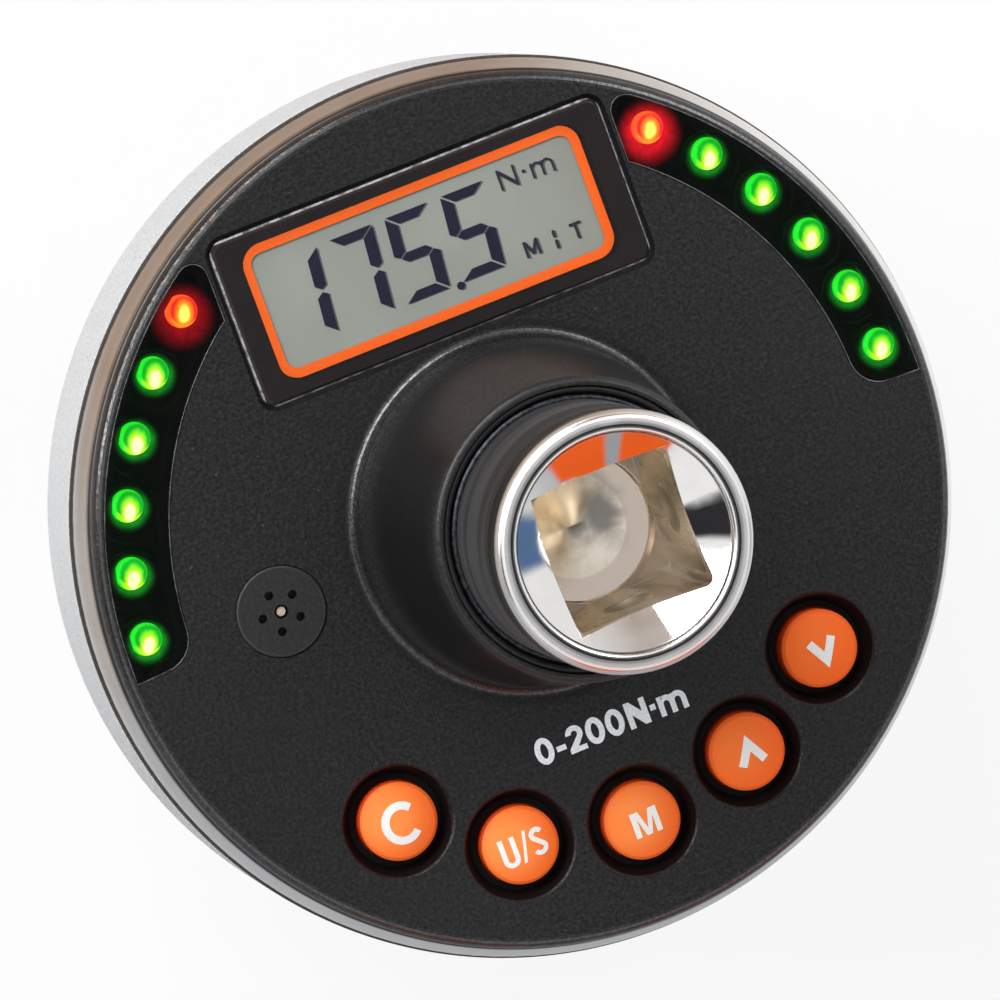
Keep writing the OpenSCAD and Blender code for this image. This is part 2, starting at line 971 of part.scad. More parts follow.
module lcd_holder() {
  color([0.85, 0.85, 0.83])
    translate([0, window_y, 0])
      difference() {
        slab(holder_w, holder_h, holder_round, board_top + gap / 2, holder_top);
        slab(holder_w - 2 * holder_wall, holder_h - 2 * holder_wall, holder_round_in,
          board_top - cut, holder_top + cut);
      }
}

module zebra_strips() {
  color([0.20, 0.20, 0.22])
    for (s = [-1, 1])
      translate([0, window_y + s * (holder_h / 2 - holder_wall - zebra_t / 2 - gap), 0])
        slab(zebra_w, zebra_t, zebra_round, board_top + gap / 2, holder_top);
}

// Lights

module left_light_window() {
  color(smoke_col)
    mirror([1, 0, 0])
      light_body(0, face_z - light_t, face_z);
}

module right_light_window() {
  color(smoke_col)
    light_body(0, face_z - light_t, face_z);
}

module at_leds(first, last) {
  for (k = [first : last])
    at_polar(led_ring_r, 90 - led_first - k * led_step)
      children();
}

module light_holder() {
  low = 90 - led_first - (led_count - 1) * led_step - holder_end_angle;
  difference() {
    rotate([0, 0, low])
      rotate_extrude(angle = led_step * (led_count - 1) + 2 * holder_end_angle)
        translate([light_holder_in, board_top + gap / 2])
          square([light_holder_out - light_holder_in,
            light_holder_top - board_top - gap / 2]);
    at_leds(0, led_count - 1)
      disc(well_r, board_top - cut, face_z);
  }
}

module left_light_holder() {
  color([0.12, 0.12, 0.13])
    mirror([1, 0, 0])
      light_holder();
}

module right_light_holder() {
  color([0.12, 0.12, 0.13])
    light_holder();
}

module led() {
  disc(led_flange_r, board_top + gap / 2, board_top + led_flange_t);
  disc(led_r, board_top + gap, led_top - led_r);
  translate([0, 0, led_top - led_r])
    sphere(r = led_r, $fn = 32);
}

module red_leds() {
  color([0.95, 0.15, 0.10])
    mirrored_x()
      at_leds(0, 0)
        led();
}

module green_leds() {
  color([0.15, 0.85, 0.20])
    mirrored_x()
      at_leds(1, led_count - 1)
        led();
}

// Buzzer

module buzzer_grille() {
  color(black_col)
    translate([-buzzer_x, 0, 0])
      difference() {
        union() {
          disc(grille_r, face_z - grille_t, face_z - grille_edge);
          translate([0, 0, face_z - grille_edge])
            cylinder(r1 = grille_r, r2 = grille_r - grille_edge, h = grille_edge);
        }
        disc(grille_mid_r, face_z - grille_t - cut, face_z + cut);
        for (a = grille_holes)
          at_polar(grille_ring_r, a)
            disc(grille_hole_r, face_z - grille_t - cut, face_z + cut);
      }
}

module buzzer() {
  color([0.80, 0.72, 0.62])
    translate([-buzzer_x, 0, 0]) {
      disc(buzzer_r, board_top + gap / 2, buzzer_top);
      disc(buzzer_pin_r, buzzer_top - gap, face_z - buzzer_pin_down);
    }
}

// Circuit board and what stands on it

module main_board() {
  color(board_col)
    difference() {
      disc(board_r, board_z, board_top);
      disc(board_hole_r, board_z - cut, board_top + cut);
      at_posts() {
        disc(post_r + post_clear, board_z - cut, board_top + cut);
        block(0, post_r * 2, -post_r - post_clear, post_r + post_clear,
          board_z - cut, board_top + cut);
      }
    }
}

module board_chips() {
  driver_top = window_y - holder_h / 2 - driver_gap;
  color(rubber_col) {
    for (i = [0 : len(chip_place_shares) - 1])
      translate([board_r * chip_place_shares[i][0],
        board_r * chip_place_shares[i][1], board_top + head_seat])
        linear_extrude(chip_t)
          square([chip_w * chip_size_shares[i][0],
            chip_w * chip_size_shares[i][1]], center = true);
    block(driver_x - driver_w / 2, driver_x + driver_w / 2,
      driver_top - driver_h, driver_top,
      board_top + head_seat, board_top + head_seat + chip_t);
  }
}

module at_key(i) {
  at_polar(key_ring_r, key_angles[i])
    children();
}

module key_switches() {
  color([0.75, 0.75, 0.77])
    for (i = [0 : 4])
      at_key(i)
        rotate([0, 0, -key_angles[i]]) {
          block(-switch_w / 2, switch_w / 2, -switch_w / 2, switch_w / 2,
            board_top + head_seat, board_top + switch_h);
          disc(switch_dome_r, board_top + switch_h - gap, switch_top);
        }
}

// Key cap: low dome on a round skirt with a flange under the cover
module key_cap(i) {
  low = key_flange_top - key_flange_t;
  dome_z = face_z + key_dome_up - key_dome_r;
  edge_z = dome_z + sqrt(pow(key_dome_r, 2) - pow(key_r - key_edge, 2));
  dome_a = asin((key_r - key_edge) / key_dome_r);
  color(orange_col)
    at_key(i)
      rotate_extrude()
        polygon(concat(
          [
            [0, low],
            [key_flange_r, low],
            [key_flange_r, key_flange_top],
            [key_r, key_flange_top],
            [key_r, edge_z - key_edge]
          ],
          arc(0, dome_z, key_dome_r, 90 - dome_a, 90)
        ));
}

module clear_key() {
  key_cap(0);
}

module unit_key() {
  key_cap(1);
}

module mode_key() {
  key_cap(2);
}

module up_key() {
  key_cap(3);
}

module down_key() {
  key_cap(4);
}

// Battery cells, contacts and doors

module cell() {
  low = cell_y - cell_len / 2;
  translate([cell_x, low, cell_z])
    rotate([-90, 0, 0]) {
      cylinder(r = cell_d / 2, h = cell_len - nub_len, $fn = 64);
      cylinder(r = nub_r, h = cell_len, $fn = 32);
    }
}

module battery_cells() {
  color([0.25, 0.30, 0.40])
    mirrored_x()
      cell();
}

module cell_contacts() {
  high = cell_y + cell_len / 2 + gap;
  color(steel_col)
    mirrored_x() {
      block(cell_x - contact_w / 2, cell_x + contact_w / 2,
        high, high + contact_t, floor_z + contact_low, board_z - contact_top_gap);
      block(cell_x - contact_w / 2, cell_x + contact_w / 2,
        cell_room_low + gap, cell_room_low + gap + contact_t,
        floor_z + contact_low, board_z - contact_top_gap);
    }
}

module cell_springs() {
  low = cell_room_low + gap + contact_t + cell_spring_wire + coil_seat;
  high = cell_y - cell_len / 2 - cell_spring_wire - coil_seat;
  color(steel_col)
    mirrored_x()
      translate([cell_x, 0, cell_z])
        rotate([0, 0, 90])
          coil(cell_spring_r, cell_spring_wire, low, high, cell_coils);
}

module battery_door() {
  lip_w = cell_room_w - 2 * door_lip_fit;
  lip_h = cell_room_high - cell_room_low - 2 * door_lip_fit;
  difference() {
    union() {
      translate([0, 0, rear_z])
        linear_extrude(door_t)
          door_shape(0);
      // locating lip inside the opening
      translate([cell_x, door_y, 0])
        difference() {
          slab(lip_w, lip_h, door_lip_round,
            rear_z + door_t - gap, rear_z + door_t + door_lip_t);
          slab(lip_w - 2 * door_lip, lip_h - 2 * door_lip, door_lip_round / 2,
            rear_z + door_t - cut, rear_z + door_t + door_lip_t + cut);
        }
    }
    // finger grip grooves
    for (i = [-grip_half_count : grip_half_count])
      translate([cell_x, grip_y + i * grip_pitch, 0])
        block(-grip_len / 2, grip_len / 2, -grip_w / 2, grip_w / 2,
          rear_z - cut, rear_z + grip_deep);
    translate([tab_x, 0, 0]) {
      disc(door_screw_r + door_hole_fit, rear_z - cut, rear_z + door_t + cut);
      disc(door_head_r + door_head_fit, rear_z - cut, rear_z + door_head_t);
    }
  }
}

module door_screw() {
  translate([tab_x, 0, 0])
    difference() {
      union() {
        disc(door_screw_r, rear_z + gap, rear_z + door_screw_len);
        disc(door_head_r, rear_z, rear_z + door_head_t - head_seat);
      }
      for (t = [0, 90])
        rotate([0, 0, t])
          block(-door_cross_len / 2, door_cross_len / 2, -cross_w / 2, cross_w / 2,
            rear_z - cut, rear_z + door_cross_deep);
    }
}

module left_battery_door() {
  color(housing_col)
    mirror([1, 0, 0])
      battery_door();
}

module right_battery_door() {
  color(housing_col)
    battery_door();
}

module left_door_screw() {
  color(steel_col)
    mirror([1, 0, 0])
      door_screw();
}

module right_door_screw() {
  color(steel_col)
    door_screw();
}

drive_shaft();
detent_ball();
detent_spring();
strain_gauges();
gauge_flex();
front_cover();
bezel_ring();
housing_gasket();
rear_housing();
front_seal();
retaining_ring();
rear_seal();
flange_screws();
case_screws();
display_window();
display_mask();
display_line();
lcd_panel();
lcd_holder();
zebra_strips();
left_light_window();
right_light_window();
left_light_holder();
right_light_holder();
red_leds();
green_leds();
buzzer_grille();
buzzer();
main_board();
board_chips();
key_switches();
clear_key();
unit_key();
mode_key();
up_key();
down_key();
battery_cells();
cell_contacts();
cell_springs();
left_battery_door();
right_battery_door();
left_door_screw();
right_door_screw();
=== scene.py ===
import json
import math

import bmesh
import bpy
from mathutils import Matrix, Vector


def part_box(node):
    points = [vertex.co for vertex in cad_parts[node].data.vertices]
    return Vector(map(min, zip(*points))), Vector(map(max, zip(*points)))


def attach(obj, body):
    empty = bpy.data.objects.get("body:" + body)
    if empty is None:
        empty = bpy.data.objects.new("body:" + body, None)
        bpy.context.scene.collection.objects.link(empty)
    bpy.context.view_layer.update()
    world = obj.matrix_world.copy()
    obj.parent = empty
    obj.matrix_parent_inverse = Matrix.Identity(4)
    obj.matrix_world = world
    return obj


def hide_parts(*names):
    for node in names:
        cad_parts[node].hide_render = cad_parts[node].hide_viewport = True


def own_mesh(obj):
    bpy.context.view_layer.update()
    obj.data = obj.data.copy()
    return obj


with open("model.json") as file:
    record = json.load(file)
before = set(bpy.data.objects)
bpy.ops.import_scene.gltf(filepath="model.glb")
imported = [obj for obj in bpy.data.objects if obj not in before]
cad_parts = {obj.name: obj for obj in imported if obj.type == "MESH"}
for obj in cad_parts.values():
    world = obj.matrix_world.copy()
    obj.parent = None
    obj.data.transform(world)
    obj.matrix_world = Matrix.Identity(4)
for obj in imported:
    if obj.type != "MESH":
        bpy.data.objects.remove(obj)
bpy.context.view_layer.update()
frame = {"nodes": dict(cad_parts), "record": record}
NODES = frame["nodes"]
MM = 0.001

# Sizes that the pieces drawn here share with the part's source
FACE = 39.0 * MM
NOSE_END = 75.4 * MM
COVER_R = 40.0 * MM
KEY_RING_R = 30.4 * MM
KEY_DOME_R = 9.0 * MM
KEY_TOP = FACE + 0.9 * MM
KEY_STEP = math.radians(22)
LED_RING_R = 36.6 * MM
LED_FIRST = math.radians(39.04)
LED_LAST = math.radians(86.85)
LED_COUNT = 6
LED_STEP = (LED_LAST - LED_FIRST) / (LED_COUNT - 1)
LED_R = 1.5 * MM
LED_FLANGE_R = 1.7 * MM
LED_TOP = FACE - 1.25 * MM
BOARD_TOP = FACE - 4.78 * MM
LCD_TOP = FACE - 1.38 * MM
LCD_MID_Y = 25.3 * MM
SOCKET_MOUTH = NOSE_END - 2.7 * MM
GASKET_OUT = 41.385 * MM
PANE_LIT_W = 16.75 * MM
PANE_LIT_H = 6.5 * MM
DOWN = (-0.3675, -0.9273)    # the way the lights' hot spots and wells lean
(grille_x0, grille_y0, _), (grille_x1, grille_y1, _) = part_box("buzzer_grille")
GRILLE_X, GRILLE_Y, GRILLE_R = (grille_x0 + grille_x1) / 2, (grille_y0 + grille_y1) / 2, (grille_x1 - grille_x0) / 2


# ---------------------------------------------------------------- materials

class Shader:
    """One procedural material, built node by node."""

    def __init__(self, name):
        self.mat = bpy.data.materials.new(name)
        self.mat.use_nodes = True
        self.tree = self.mat.node_tree
        self.tree.nodes.clear()
        self.out = self.add("ShaderNodeOutputMaterial")
        self.place = self.add("ShaderNodeTexCoord").outputs["Object"]
        self.split = None

    def add(self, kind, **settings):
        node = self.tree.nodes.new(kind)
        for key, value in settings.items():
            setattr(node, key, value)
        return node

    def put(self, socket, value):
        if isinstance(value, bpy.types.NodeSocket):
            self.tree.links.new(value, socket)
        elif isinstance(value, (tuple, list)) and len(value) == 3 and socket.type == "RGBA":
            socket.default_value = (*value, 1)
        else:
            socket.default_value = value

    def xyz(self):
        if self.split is None:
            self.split = self.add("ShaderNodeSeparateXYZ")
            self.put(self.split.inputs[0], self.place)
        return self.split.outputs

    def math(self, operation, a, b=None, c=None, clamp=False):
        node = self.add("ShaderNodeMath", operation=operation, use_clamp=clamp)
        for socket, value in zip(node.inputs, (a, b, c)):
            if value is not None:
                self.put(socket, value)
        return node.outputs[0]

    def length(self, a, b):
        return self.math("SQRT", self.math("ADD", self.math("MULTIPLY", a, a), self.math("MULTIPLY", b, b)))

    def radius(self):
        x, y, z = self.xyz()
        return self.length(x, y)

    def noise(self, scale, detail=2.0, rough=0.5, stretch=None, distort=0.0):
        vector = self.place
        if stretch:
            mapping = self.add("ShaderNodeMapping")
            self.put(mapping.inputs["Vector"], vector)
            mapping.inputs["Scale"].default_value = stretch
            vector = mapping.outputs[0]
        node = self.add("ShaderNodeTexNoise")
        self.put(node.inputs["Vector"], vector)
        node.inputs["Scale"].default_value = scale
        node.inputs["Detail"].default_value = detail
        node.inputs["Roughness"].default_value = rough
        node.inputs["Distortion"].default_value = distort
        return node.outputs["Fac"]

    def cells(self, scale, feature="F1"):
        node = self.add("ShaderNodeTexVoronoi", feature=feature)
        self.put(node.inputs["Vector"], self.place)
        node.inputs["Scale"].default_value = scale
        return node.outputs["Distance"]

    def steps(self, value, low, high, out_low=0.0, out_high=1.0):
        """value from low to high becomes out_low to out_high, smoothly, and stays there outside."""
        node = self.add("ShaderNodeMapRange", interpolation_type="SMOOTHSTEP")
        for socket, v in zip(node.inputs, (value, low, high, out_low, out_high)):
            self.put(socket, v)
        return node.outputs[0]

    def ramp(self, value, stops):
        node = self.add("ShaderNodeValToRGB")
        ramp = node.color_ramp
        while len(ramp.elements) < len(stops):
            ramp.elements.new(0.5)
        for element, (position, color) in zip(ramp.elements, stops):
            element.position = position
            element.color = (*color, 1)
        self.put(node.inputs[0], value)
        return node.outputs[0]

    def mix(self, share, a, b):
        node = self.add("ShaderNodeMix", data_type="RGBA")
        self.put(node.inputs["Factor"], share)
        self.put(node.inputs[6], a)
        self.put(node.inputs[7], b)
        return node.outputs[2]

    def bump(self, height, strength, distance, normal=None):
        node = self.add("ShaderNodeBump")
        self.put(node.inputs["Height"], height)
        self.put(node.inputs["Strength"], strength)
        node.inputs["Distance"].default_value = distance
        if normal is not None:
            self.put(node.inputs["Normal"], normal)
        return node.outputs[0]

    def principled(self, **values):
        node = self.add("ShaderNodeBsdfPrincipled")
        for key, value in values.items():
            self.put(node.inputs[key.replace("_", " ")], value)
        return node.outputs[0]

    def shader_mix(self, share, a, b):
        node = self.add("ShaderNodeMixShader")
        self.put(node.inputs[0], share)
        self.put(node.inputs[1], a)
        self.put(node.inputs[2], b)
        return node.outputs[0]

    def finish(self, surface):
        self.put(self.out.inputs["Surface"], surface)
        return self.mat


def cover_black():
    """Spark-textured black moulding, with a smoother boss side, painted shade in the key wells and a painted highlight
    round the grille's rim.
    """
    s = Shader("cover_black")
    x, y, z = s.xyz()
    r = s.radius()
    on_side = s.math("MULTIPLY", s.steps(r, 15.7 * MM, 15.3 * MM), s.steps(r, 13.5 * MM, 13.9 * MM))
    smooth = s.math("MULTIPLY", on_side, s.steps(z, FACE + 0.8 * MM, FACE + 1.6 * MM))
    angle = s.math("DIVIDE", s.math("ARCTAN2", x, s.math("MULTIPLY", y, -1)), KEY_STEP)
    nearest = s.math("MINIMUM", s.math("MAXIMUM", s.math("ROUND", angle), -2), 2)
    turn = s.math("MULTIPLY", s.math("SUBTRACT", angle, nearest), KEY_STEP * KEY_RING_R)
    shaded_well = s.steps(s.length(turn, s.math("SUBTRACT", r, KEY_RING_R)), 5.12 * MM, 5.02 * MM)
    shaded_well = s.math("MULTIPLY", shaded_well, s.steps(z, FACE - 0.02 * MM, FACE - 0.25 * MM))
    grain = s.noise(2900, 4.0, 0.68)
    pits = s.cells(2300)
    height = s.math("ADD", grain, s.math("MULTIPLY", pits, 0.7))
    strength = s.math("MULTIPLY", s.steps(smooth, 0, 1, 0.62, 0.06), s.steps(shaded_well, 0, 1, 1, 0.25))
    broad = s.noise(60, 2.0, 0.5)
    color = s.mix(s.steps(grain, 0.38, 0.68), (0.0085, 0.0085, 0.0098), (0.0185, 0.0185, 0.020))
    color = s.mix(s.steps(broad, 0.35, 0.7, 0, 0.35), color, (0.014, 0.0138, 0.0145))
    # painted shade: the key wells are coloured darker than the face round them
    color = s.mix(shaded_well, color, (0.006, 0.0055, 0.0055))
    specks = s.steps(s.noise(1700, 1.0, 0.4), 0.79, 0.83, 0, 0.5)
    color = s.mix(specks, color, (0.10, 0.10, 0.105))
    color = s.mix(s.math("MULTIPLY", smooth, 0.6), color, (0.0045, 0.0045, 0.005))
    from_grille = s.length(s.math("SUBTRACT", x, GRILLE_X), s.math("SUBTRACT", y, GRILLE_Y))
    disc = s.math("MULTIPLY", s.steps(from_grille, GRILLE_R + 0.03 * MM, GRILLE_R), s.steps(z, FACE - 0.35 * MM, FACE - 0.30 * MM))
    # painted highlight: a light ring just inside the grille's edge, where its chamfer catches the light
    rim = s.math("MULTIPLY", s.steps(s.math("ABSOLUTE", s.math("SUBTRACT", from_grille, GRILLE_R - 0.14 * MM)), 0.18 * MM, 0.05 * MM), disc)
    color = s.mix(s.math("MULTIPLY", disc, 0.75), color, (0.0265, 0.0255, 0.0270))
    color = s.mix(s.math("MULTIPLY", rim, s.steps(broad, 0.3, 0.7, 0.35, 1.0)), color, (0.060, 0.059, 0.061))
    foot = s.math("MULTIPLY", s.steps(r, 15.0 * MM, 15.6 * MM), s.steps(r, 18.2 * MM, 17.2 * MM))
    foot = s.math("MULTIPLY", foot, s.steps(grain, 0.36, 0.62, 0.2, 1.0))
    edge = s.math("MULTIPLY", s.steps(r, COVER_R - 1.3 * MM, COVER_R - 0.8 * MM), s.steps(grain, 0.36, 0.62, 0.4, 1.0))
    bright = s.math("ADD", s.math("MULTIPLY", foot, 0.75), edge)
    up = s.math("ADD", s.math("MULTIPLY", x, -DOWN[0]), s.math("MULTIPLY", y, -DOWN[1]))
    up = s.math("DIVIDE", up, s.math("MAXIMUM", r, 1 * MM))
    level = s.math("MULTIPLY", s.steps(shaded_well, 0, 1, 0.44, 0.14), s.math("SUBTRACT", 1.0, smooth))
    level = s.math("ADD", level, s.math("MULTIPLY", smooth, s.steps(up, -0.3, 0.95, 0.10, 0.58)))
    level = s.math("ADD", level, s.math("MULTIPLY", bright, 0.6))
    rough = s.math("SUBTRACT", s.steps(grain, 0.3, 0.75, 0.30, 0.46), s.math("MULTIPLY", bright, 0.21))
    strength = s.math("MULTIPLY", strength, s.math("SUBTRACT", 1.0, s.math("MULTIPLY", bright, 0.75)))
    return s.finish(s.principled(
        Base_Color=color, Roughness=rough, Specular_IOR_Level=level,
        Normal=s.bump(height, strength, 0.06 * MM)))


def moulded(name, dark, light, rough=(0.42, 0.6), scale=3000, strength=0.2, depth=0.04, level=0.5):
    """Plain moulded plastic with a fine grain."""
    s = Shader(name)
    grain = s.noise(scale, 3.0, 0.6)
    broad = s.noise(90, 2.0, 0.5)
    color = s.mix(s.steps(grain, 0.3, 0.75), dark, light)
    color = s.mix(s.steps(broad, 0.3, 0.75, 0, 0.3), color, dark)
    return s.finish(s.principled(
        Base_Color=color, Roughness=s.steps(grain, 0.3, 0.75, *rough), Specular_IOR_Level=level,
        Normal=s.bump(grain, strength, depth * MM)))


def chrome_steel():
    """Chrome outside and on the lead-in cone, bare nickel down the socket, with a painted dark reflection on the
    socket's floor and painted dark reflections streaked down the nose's outer tube.
    """
    s = Shader("chrome_steel")
    x, y, z = s.xyz()
    r = s.radius()
    wide = s.math("MAXIMUM", s.math("ABSOLUTE", x), s.math("ABSOLUTE", y))
    square = s.math("MAXIMUM", s.steps(wide, 6.40 * MM, 6.37 * MM),
                    s.steps(z, SOCKET_MOUTH - 0.4 * MM, SOCKET_MOUTH - 0.6 * MM))
    inside = s.math("MULTIPLY", s.math("MULTIPLY", square, s.steps(r, 9.4 * MM, 9.3 * MM)),
                    s.steps(z, 40 * MM, 41 * MM))
    walls = s.steps(z, NOSE_END - 15.9 * MM, NOSE_END - 15.4 * MM)
    dimple = s.math("MULTIPLY", s.steps(wide, 6.38 * MM, 6.44 * MM),
                    s.steps(z, SOCKET_MOUTH - 0.4 * MM, SOCKET_MOUTH - 0.6 * MM))
    hidden = s.steps(z, 35 * MM, 33 * MM)
    cloud = s.noise(300, 3.0, 0.55, distort=0.5)
    fine = s.noise(5200, 2.0, 0.5)
    chrome = s.mix(s.steps(cloud, 0.3, 0.75), (0.80, 0.79, 0.785), (0.85, 0.84, 0.83))
    drawn = s.noise(420, 3.0, 0.6, stretch=(1, 1, 0.12), distort=0.4)
    wall = s.mix(s.steps(drawn, 0.34, 0.66), (0.27, 0.215, 0.145), (0.66, 0.58, 0.45))
    bottom = s.mix(s.steps(cloud, 0.3, 0.72), (0.66, 0.575, 0.48), (0.86, 0.79, 0.69))
    bottom = s.mix(s.steps(r, 4.5 * MM, 4.75 * MM), bottom, (0.60, 0.515, 0.445))
    # painted reflection: a dark blot on the socket's floor, where it would mirror something dark
    painted_reflection = s.length(s.math("SUBTRACT", x, 2.5 * MM), s.math("MULTIPLY", s.math("SUBTRACT", y, 0.3 * MM), 0.60))
    painted_reflection = s.math("ADD", painted_reflection, s.math("MULTIPLY", s.math("SUBTRACT", cloud, 0.5), 2.4 * MM))
    bottom = s.mix(s.steps(painted_reflection, 2.7 * MM, 0.7 * MM, 0, 0.88), bottom, (0.17, 0.165, 0.155))
    nickel = s.mix(s.math("MULTIPLY", dimple, 0.8), s.mix(walls, bottom, wall), (0.97, 0.88, 0.72))
    steel = s.mix(s.steps(cloud, 0.3, 0.72), (0.56, 0.56, 0.565), (0.68, 0.68, 0.68))
    color = s.mix(inside, s.mix(hidden, chrome, steel), nickel)
    rim = s.math("MULTIPLY", s.steps(z, NOSE_END - 0.16 * MM, NOSE_END - 0.06 * MM),
                 s.steps(r, 10.16 * MM, 10.24 * MM))
    rough = s.math("ADD", s.steps(inside, 0, 1, 0.045, 0.19), s.steps(hidden, 0, 1, 0.0, 0.16))
    fillet = s.math("MULTIPLY", s.steps(z, NOSE_END - 1.1 * MM, NOSE_END - 0.9 * MM), s.steps(r, 10.3 * MM, 10.5 * MM))
    rough = s.math("ADD", rough, s.math("ADD", s.math("MULTIPLY", rim, 0.30), s.math("MULTIPLY", fillet, 0.07)))
    rough = s.math("ADD", rough, s.steps(cloud, 0.45, 0.8, 0.0, 0.05))
    lip = s.math("MULTIPLY", s.steps(z, NOSE_END - 0.62 * MM, NOSE_END - 0.5 * MM), s.steps(r, 10.08 * MM, 9.98 * MM))
    tube = s.math("MULTIPLY", s.steps(z, NOSE_END - 0.50 * MM, NOSE_END - 0.95 * MM), s.steps(r, 10.9 * MM, 11.1 * MM))
    tube = s.math("MULTIPLY", tube, s.steps(z, 40 * MM, 41 * MM))
    rough = s.math("ADD", rough, s.math("ADD", s.math("MULTIPLY", tube, 0.20), s.math("MULTIPLY", dimple, 0.25)))
    skirt = s.math("MULTIPLY", s.steps(r, 10.95 * MM, 11.2 * MM), s.steps(z, 40 * MM, 41 * MM))
    rough = s.math("ADD", rough, s.math("ADD", s.math("MULTIPLY", lip, 0.16), s.math("MULTIPLY", skirt, 0.24)))
    # painted reflection: the nose's outer tube is coloured dark with lengthwise streaks, as if mirroring the black
    # cover
    band = s.steps(s.noise(160, 2.0, 0.5, stretch=(0.2, 0.2, 4.0)), 0.42, 0.62)
    color = s.mix(s.math("MULTIPLY", tube, 0.94), color, s.mix(band, (0.028, 0.030, 0.034), (0.075, 0.078, 0.088)))
    bumps = s.math("ADD", s.math("MULTIPLY", inside, s.math("MULTIPLY", cloud, 1.6)), s.math("MULTIPLY", fine, 0.10))
    return s.finish(s.principled(
        Base_Color=color, Metallic=1.0, Roughness=rough,
        Normal=s.bump(bumps, 0.10, 0.05 * MM)))


def polished_ring():
    """Bezel ring: turned and polished, with faint lines round the axis and painted shade along its inner edge by the
    cover.
    """
    s = Shader("bezel_silver")
    r = s.radius()
    x, y, z = s.xyz()
    wave = s.math("SINE", s.math("MULTIPLY", s.math("ADD", r, z), 52000))
    cloud = s.noise(240, 3.0, 0.55)
    color = s.mix(s.steps(cloud, 0.3, 0.7), (0.80, 0.785, 0.77), (0.86, 0.85, 0.84))
    # painted shade: the ring is coloured dark along its inner edge next to the cover
    inner_shade = s.steps(r, COVER_R + 0.30 * MM, COVER_R + 0.14 * MM)
    color = s.mix(s.math("MULTIPLY", inner_shade, 0.93), color, (0.035, 0.033, 0.034))
    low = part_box("bezel_ring")[0][2]
    foot = s.steps(z, low + 0.40 * MM, low + 0.22 * MM)
    color = s.mix(s.math("MULTIPLY", foot, 0.92), color, (0.060, 0.048, 0.040))
    return s.finish(s.principled(
        Base_Color=color, Metallic=1.0,
        Roughness=s.math("ADD", s.steps(cloud, 0.3, 0.75, 0.09, 0.17), s.math("MULTIPLY", inner_shade, 0.25)),
        Normal=s.bump(wave, 0.05, 0.01 * MM)))


def worn_metal(name, dark, light, rough=(0.28, 0.42), scale=1500, metallic=1.0):
    """Machined or pressed metal with small scuffs."""
    s = Shader(name)
    cloud = s.noise(scale, 3.0, 0.6, distort=0.4)
    fine = s.noise(9000, 2.0, 0.5)
    return s.finish(s.principled(
        Base_Color=s.mix(s.steps(cloud, 0.35, 0.7), dark, light), Metallic=metallic,
        Roughness=s.steps(cloud, 0.3, 0.75, *rough), Normal=s.bump(fine, 0.08, 0.02 * MM)))


def rubber():
    s = Shader("seal_rubber")
    grain = s.noise(4200, 2.0, 0.6)
    return s.finish(s.principled(
        Base_Color=s.mix(s.steps(grain, 0.3, 0.8), (0.010, 0.010, 0.011), (0.026, 0.026, 0.027)),
        Roughness=s.steps(grain, 0.3, 0.8, 0.42, 0.62), Specular_IOR_Level=0.4,
        Normal=s.bump(grain, 0.25, 0.03 * MM)))


def housing_grey():
    """Light grey moulding with an even fine grain."""
    s = Shader("housing_grey")
    grain = s.noise(3400, 3.0, 0.65)
    speck = s.noise(5200, 1.0, 0.5)
    broad = s.noise(50, 2.0, 0.5)
    color = s.mix(s.steps(grain, 0.3, 0.75), (0.505, 0.515, 0.535), (0.64, 0.65, 0.67))
    color = s.mix(s.steps(speck, 0.50, 0.66, 0, 0.62), color, (0.29, 0.29, 0.30))
    color = s.mix(s.steps(broad, 0.35, 0.7, 0, 0.3), color, (0.53, 0.535, 0.535))
    return s.finish(s.principled(
        Base_Color=color, Roughness=s.steps(grain, 0.3, 0.75, 0.45, 0.62), Specular_IOR_Level=0.4,
        Normal=s.bump(grain, 0.30, 0.05 * MM)))


PANE_MIRRORED = 0.034       # share of the light that a pane mirrors when it is seen straight on


def pane_gloss(s, behind, rough):
    """A glossy face over what is behind it, alike from both sides; lamps shine straight through."""
    gloss = s.add("ShaderNodeBsdfGlossy")
    s.put(gloss.inputs["Color"], (0.95, 0.95, 0.95))
    s.put(gloss.inputs["Roughness"], rough)
    weight = s.add("ShaderNodeLayerWeight")
    weight.inputs["Blend"].default_value = 0.5
    grazing = s.math("POWER", weight.outputs["Facing"], 5.0)
    mirrored = s.math("ADD", s.math("MULTIPLY", grazing, 1 - PANE_MIRRORED), PANE_MIRRORED)
    lamp = s.math("SUBTRACT", 1.0, s.add("ShaderNodeLightPath").outputs["Is Shadow Ray"])
    return s.shader_mix(s.math("MULTIPLY", mirrored, lamp), behind, gloss.outputs[0])


